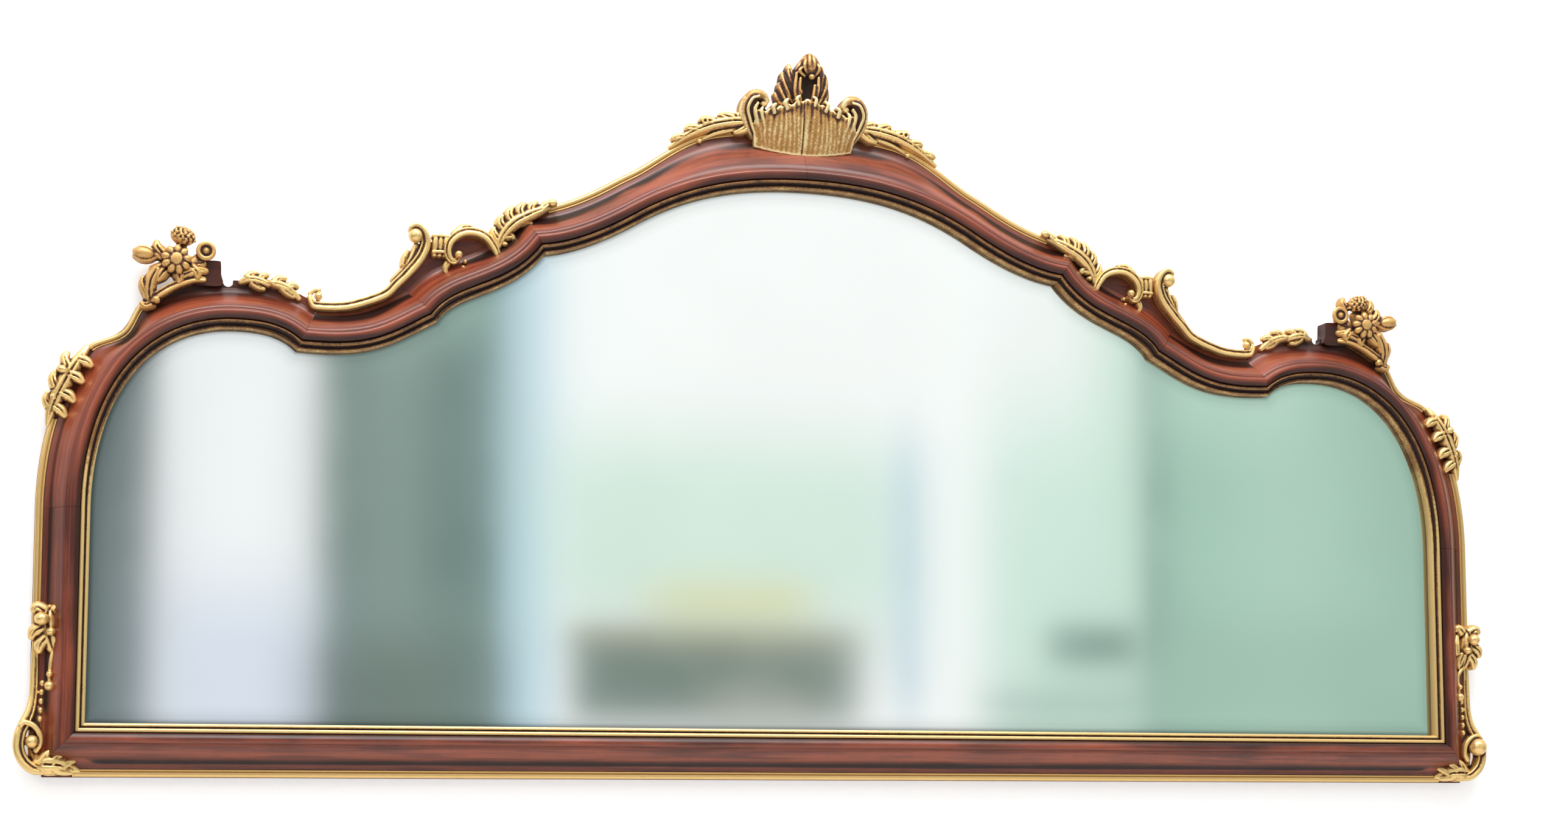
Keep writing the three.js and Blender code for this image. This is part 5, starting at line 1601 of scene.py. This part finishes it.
def rimStations():
    # right round one half of the opening, with the way out turned to the mitre at each cusp
    rim = [stationsAlong(sections["bottom"])[0]]
    for before, name in zip(order, order[1:]):
        outs = [Vector((way.y, -way.x)) for way in (endOf(sections[before])[1], startOf(sections[name])[1])]
        rim.append({"point": startOf(sections[name])[0], "out": (outs[0] + outs[1]) / (1 + outs[0].dot(outs[1]))})
        # closer ones would cross in the corner
        stations = stationsAlong(sections[name], 36 if name == "stile" else 12)
        rim += stations[1:] if name == order[-1] else stations[1:-1]
    return rim


def makePlateMesh():
    # rings that step in from the edge, so that the plate can darken toward it: worn silvering with a painted reflection
    # of the frame's dark inner side
    settings = plateSettings
    right = rimStations()
    bm = bmesh.new()
    layer = bm.verts.layers.float.new("edge")
    rings = []
    for inset, fade in zip(settings["insets"], settings["fading"]):
        spots = [station["point"] + station["out"] * inset for station in right]
        spots += [Vector((-spot.x, spot.y)) for spot in reversed(spots[1:-1])]
        ring = [bm.verts.new(place(spot.x, spot.y, settings["front"])) for spot in spots]
        for vert in ring:
            vert[layer] = fade
        rings.append(ring)
    for outer, inner in zip(rings, rings[1:]):
        for i in range(len(outer)):
            bm.faces.new((outer[i - 1], outer[i], inner[i], inner[i - 1]))
    bm.faces.new(rings[-1])
    edge = [item for item in bm.edges if item.is_boundary]
    for vert in newVerts(bmesh.ops.extrude_edge_only(bm, edges=edge)["geom"]):
        vert.co.y = -(settings["front"] - settings["thick"]) * mm
    bmesh.ops.holes_fill(bm, edges=[item for item in bm.edges if item.is_boundary], sides=0)
    bmesh.ops.recalc_face_normals(bm, faces=bm.faces)
    return toMesh("plate", bm)


finishPiece("plate", makePlateMesh(), makePlate(), "plate", ["mirror_plate"], crease=30, passes=1)
softwood, steel = makeSoftwood(), makeSteel()
coat(softwood, "packing_right", "packing_left", "backboard_right", "backboard_left")
coat(steel, "hanger_right", "hanger_left")


screwSettings = {"apart": 24, "radius": 3.8, "turned": 0.5, "back": 0.05, "front": 1.4}
sprigSettings = {"from": 12, "to": 24, "lift": 1.2, "radius": 0.7, "every": slice(3, None, 7)}


def addHalfDisc(bm, half, height, radius, turn, back, front):
    # one side of a slotted screw head
    angles = np.linspace(math.radians(-80), math.radians(80), 13)
    spots = [(half + radius * math.cos(a + turn), height + radius * math.sin(a + turn)) for a in angles]
    face = bm.faces.new([bm.verts.new(place(*spot, back)) for spot in spots])
    made = bmesh.ops.extrude_face_region(bm, geom=[face])["geom"]
    for vert in newVerts(made):
        vert.co.y = -front * mm


def addPin(bm, start, end, lift, radius):
    way = Vector(end) - Vector(start)
    middle = (Vector(start) + Vector(end)) / 2
    made = bmesh.ops.create_cone(
        bm, cap_ends=True, segments=10, radius1=radius * mm, radius2=radius * mm, depth=way.length * mm,
    )["verts"]
    bmesh.ops.rotate(bm, cent=(0, 0, 0), matrix=Matrix.Rotation(math.atan2(way.x, way.y), 3, "Y"), verts=made)
    bmesh.ops.translate(bm, vec=place(*middle, lift), verts=made)


def fixing(name, bm):
    bmesh.ops.recalc_face_normals(bm, faces=bm.faces)
    mesh = toMesh(name, bm)
    mesh.materials.append(steel)
    mesh.shade_smooth()
    mesh.set_sharp_from_angle(angle=math.radians(35))
    piece = bpy.data.objects.new(name, mesh)
    bpy.context.collection.objects.link(piece)
    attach(piece, "root")


for side in (1, -1):
    hand = "Right" if side > 0 else "Left"
    for step in (-screwSettings["apart"], screwSettings["apart"]):
        bm = bmesh.new()
        half, turn = side * hangerSettings["half"] + step, screwSettings["turned"] * step
        for way in (turn, turn + math.pi):
            radius, back, front = (screwSettings[key] for key in ("radius", "back", "front"))
            addHalfDisc(bm, half, hangerSettings["height"], radius, way, back, front)
        fixing(f"hangerScrew{hand}{'Outer' if step * side > 0 else 'Inner'}", bm)
    bm = bmesh.new()
    for station in rimStations()[sprigSettings["every"]]:
        out = station["out"].normalized()
        spot = station["point"] + out * sprigSettings["to"]
        length = sprigSettings["to"] - sprigSettings["from"]
        start = (side * (spot.x - out.x * length), spot.y - out.y * length)
        addPin(bm, start, (side * spot.x, spot.y), sprigSettings["lift"], sprigSettings["radius"])
    fixing("boardSprigs" + hand, bm)
print("plate and back have their finish")
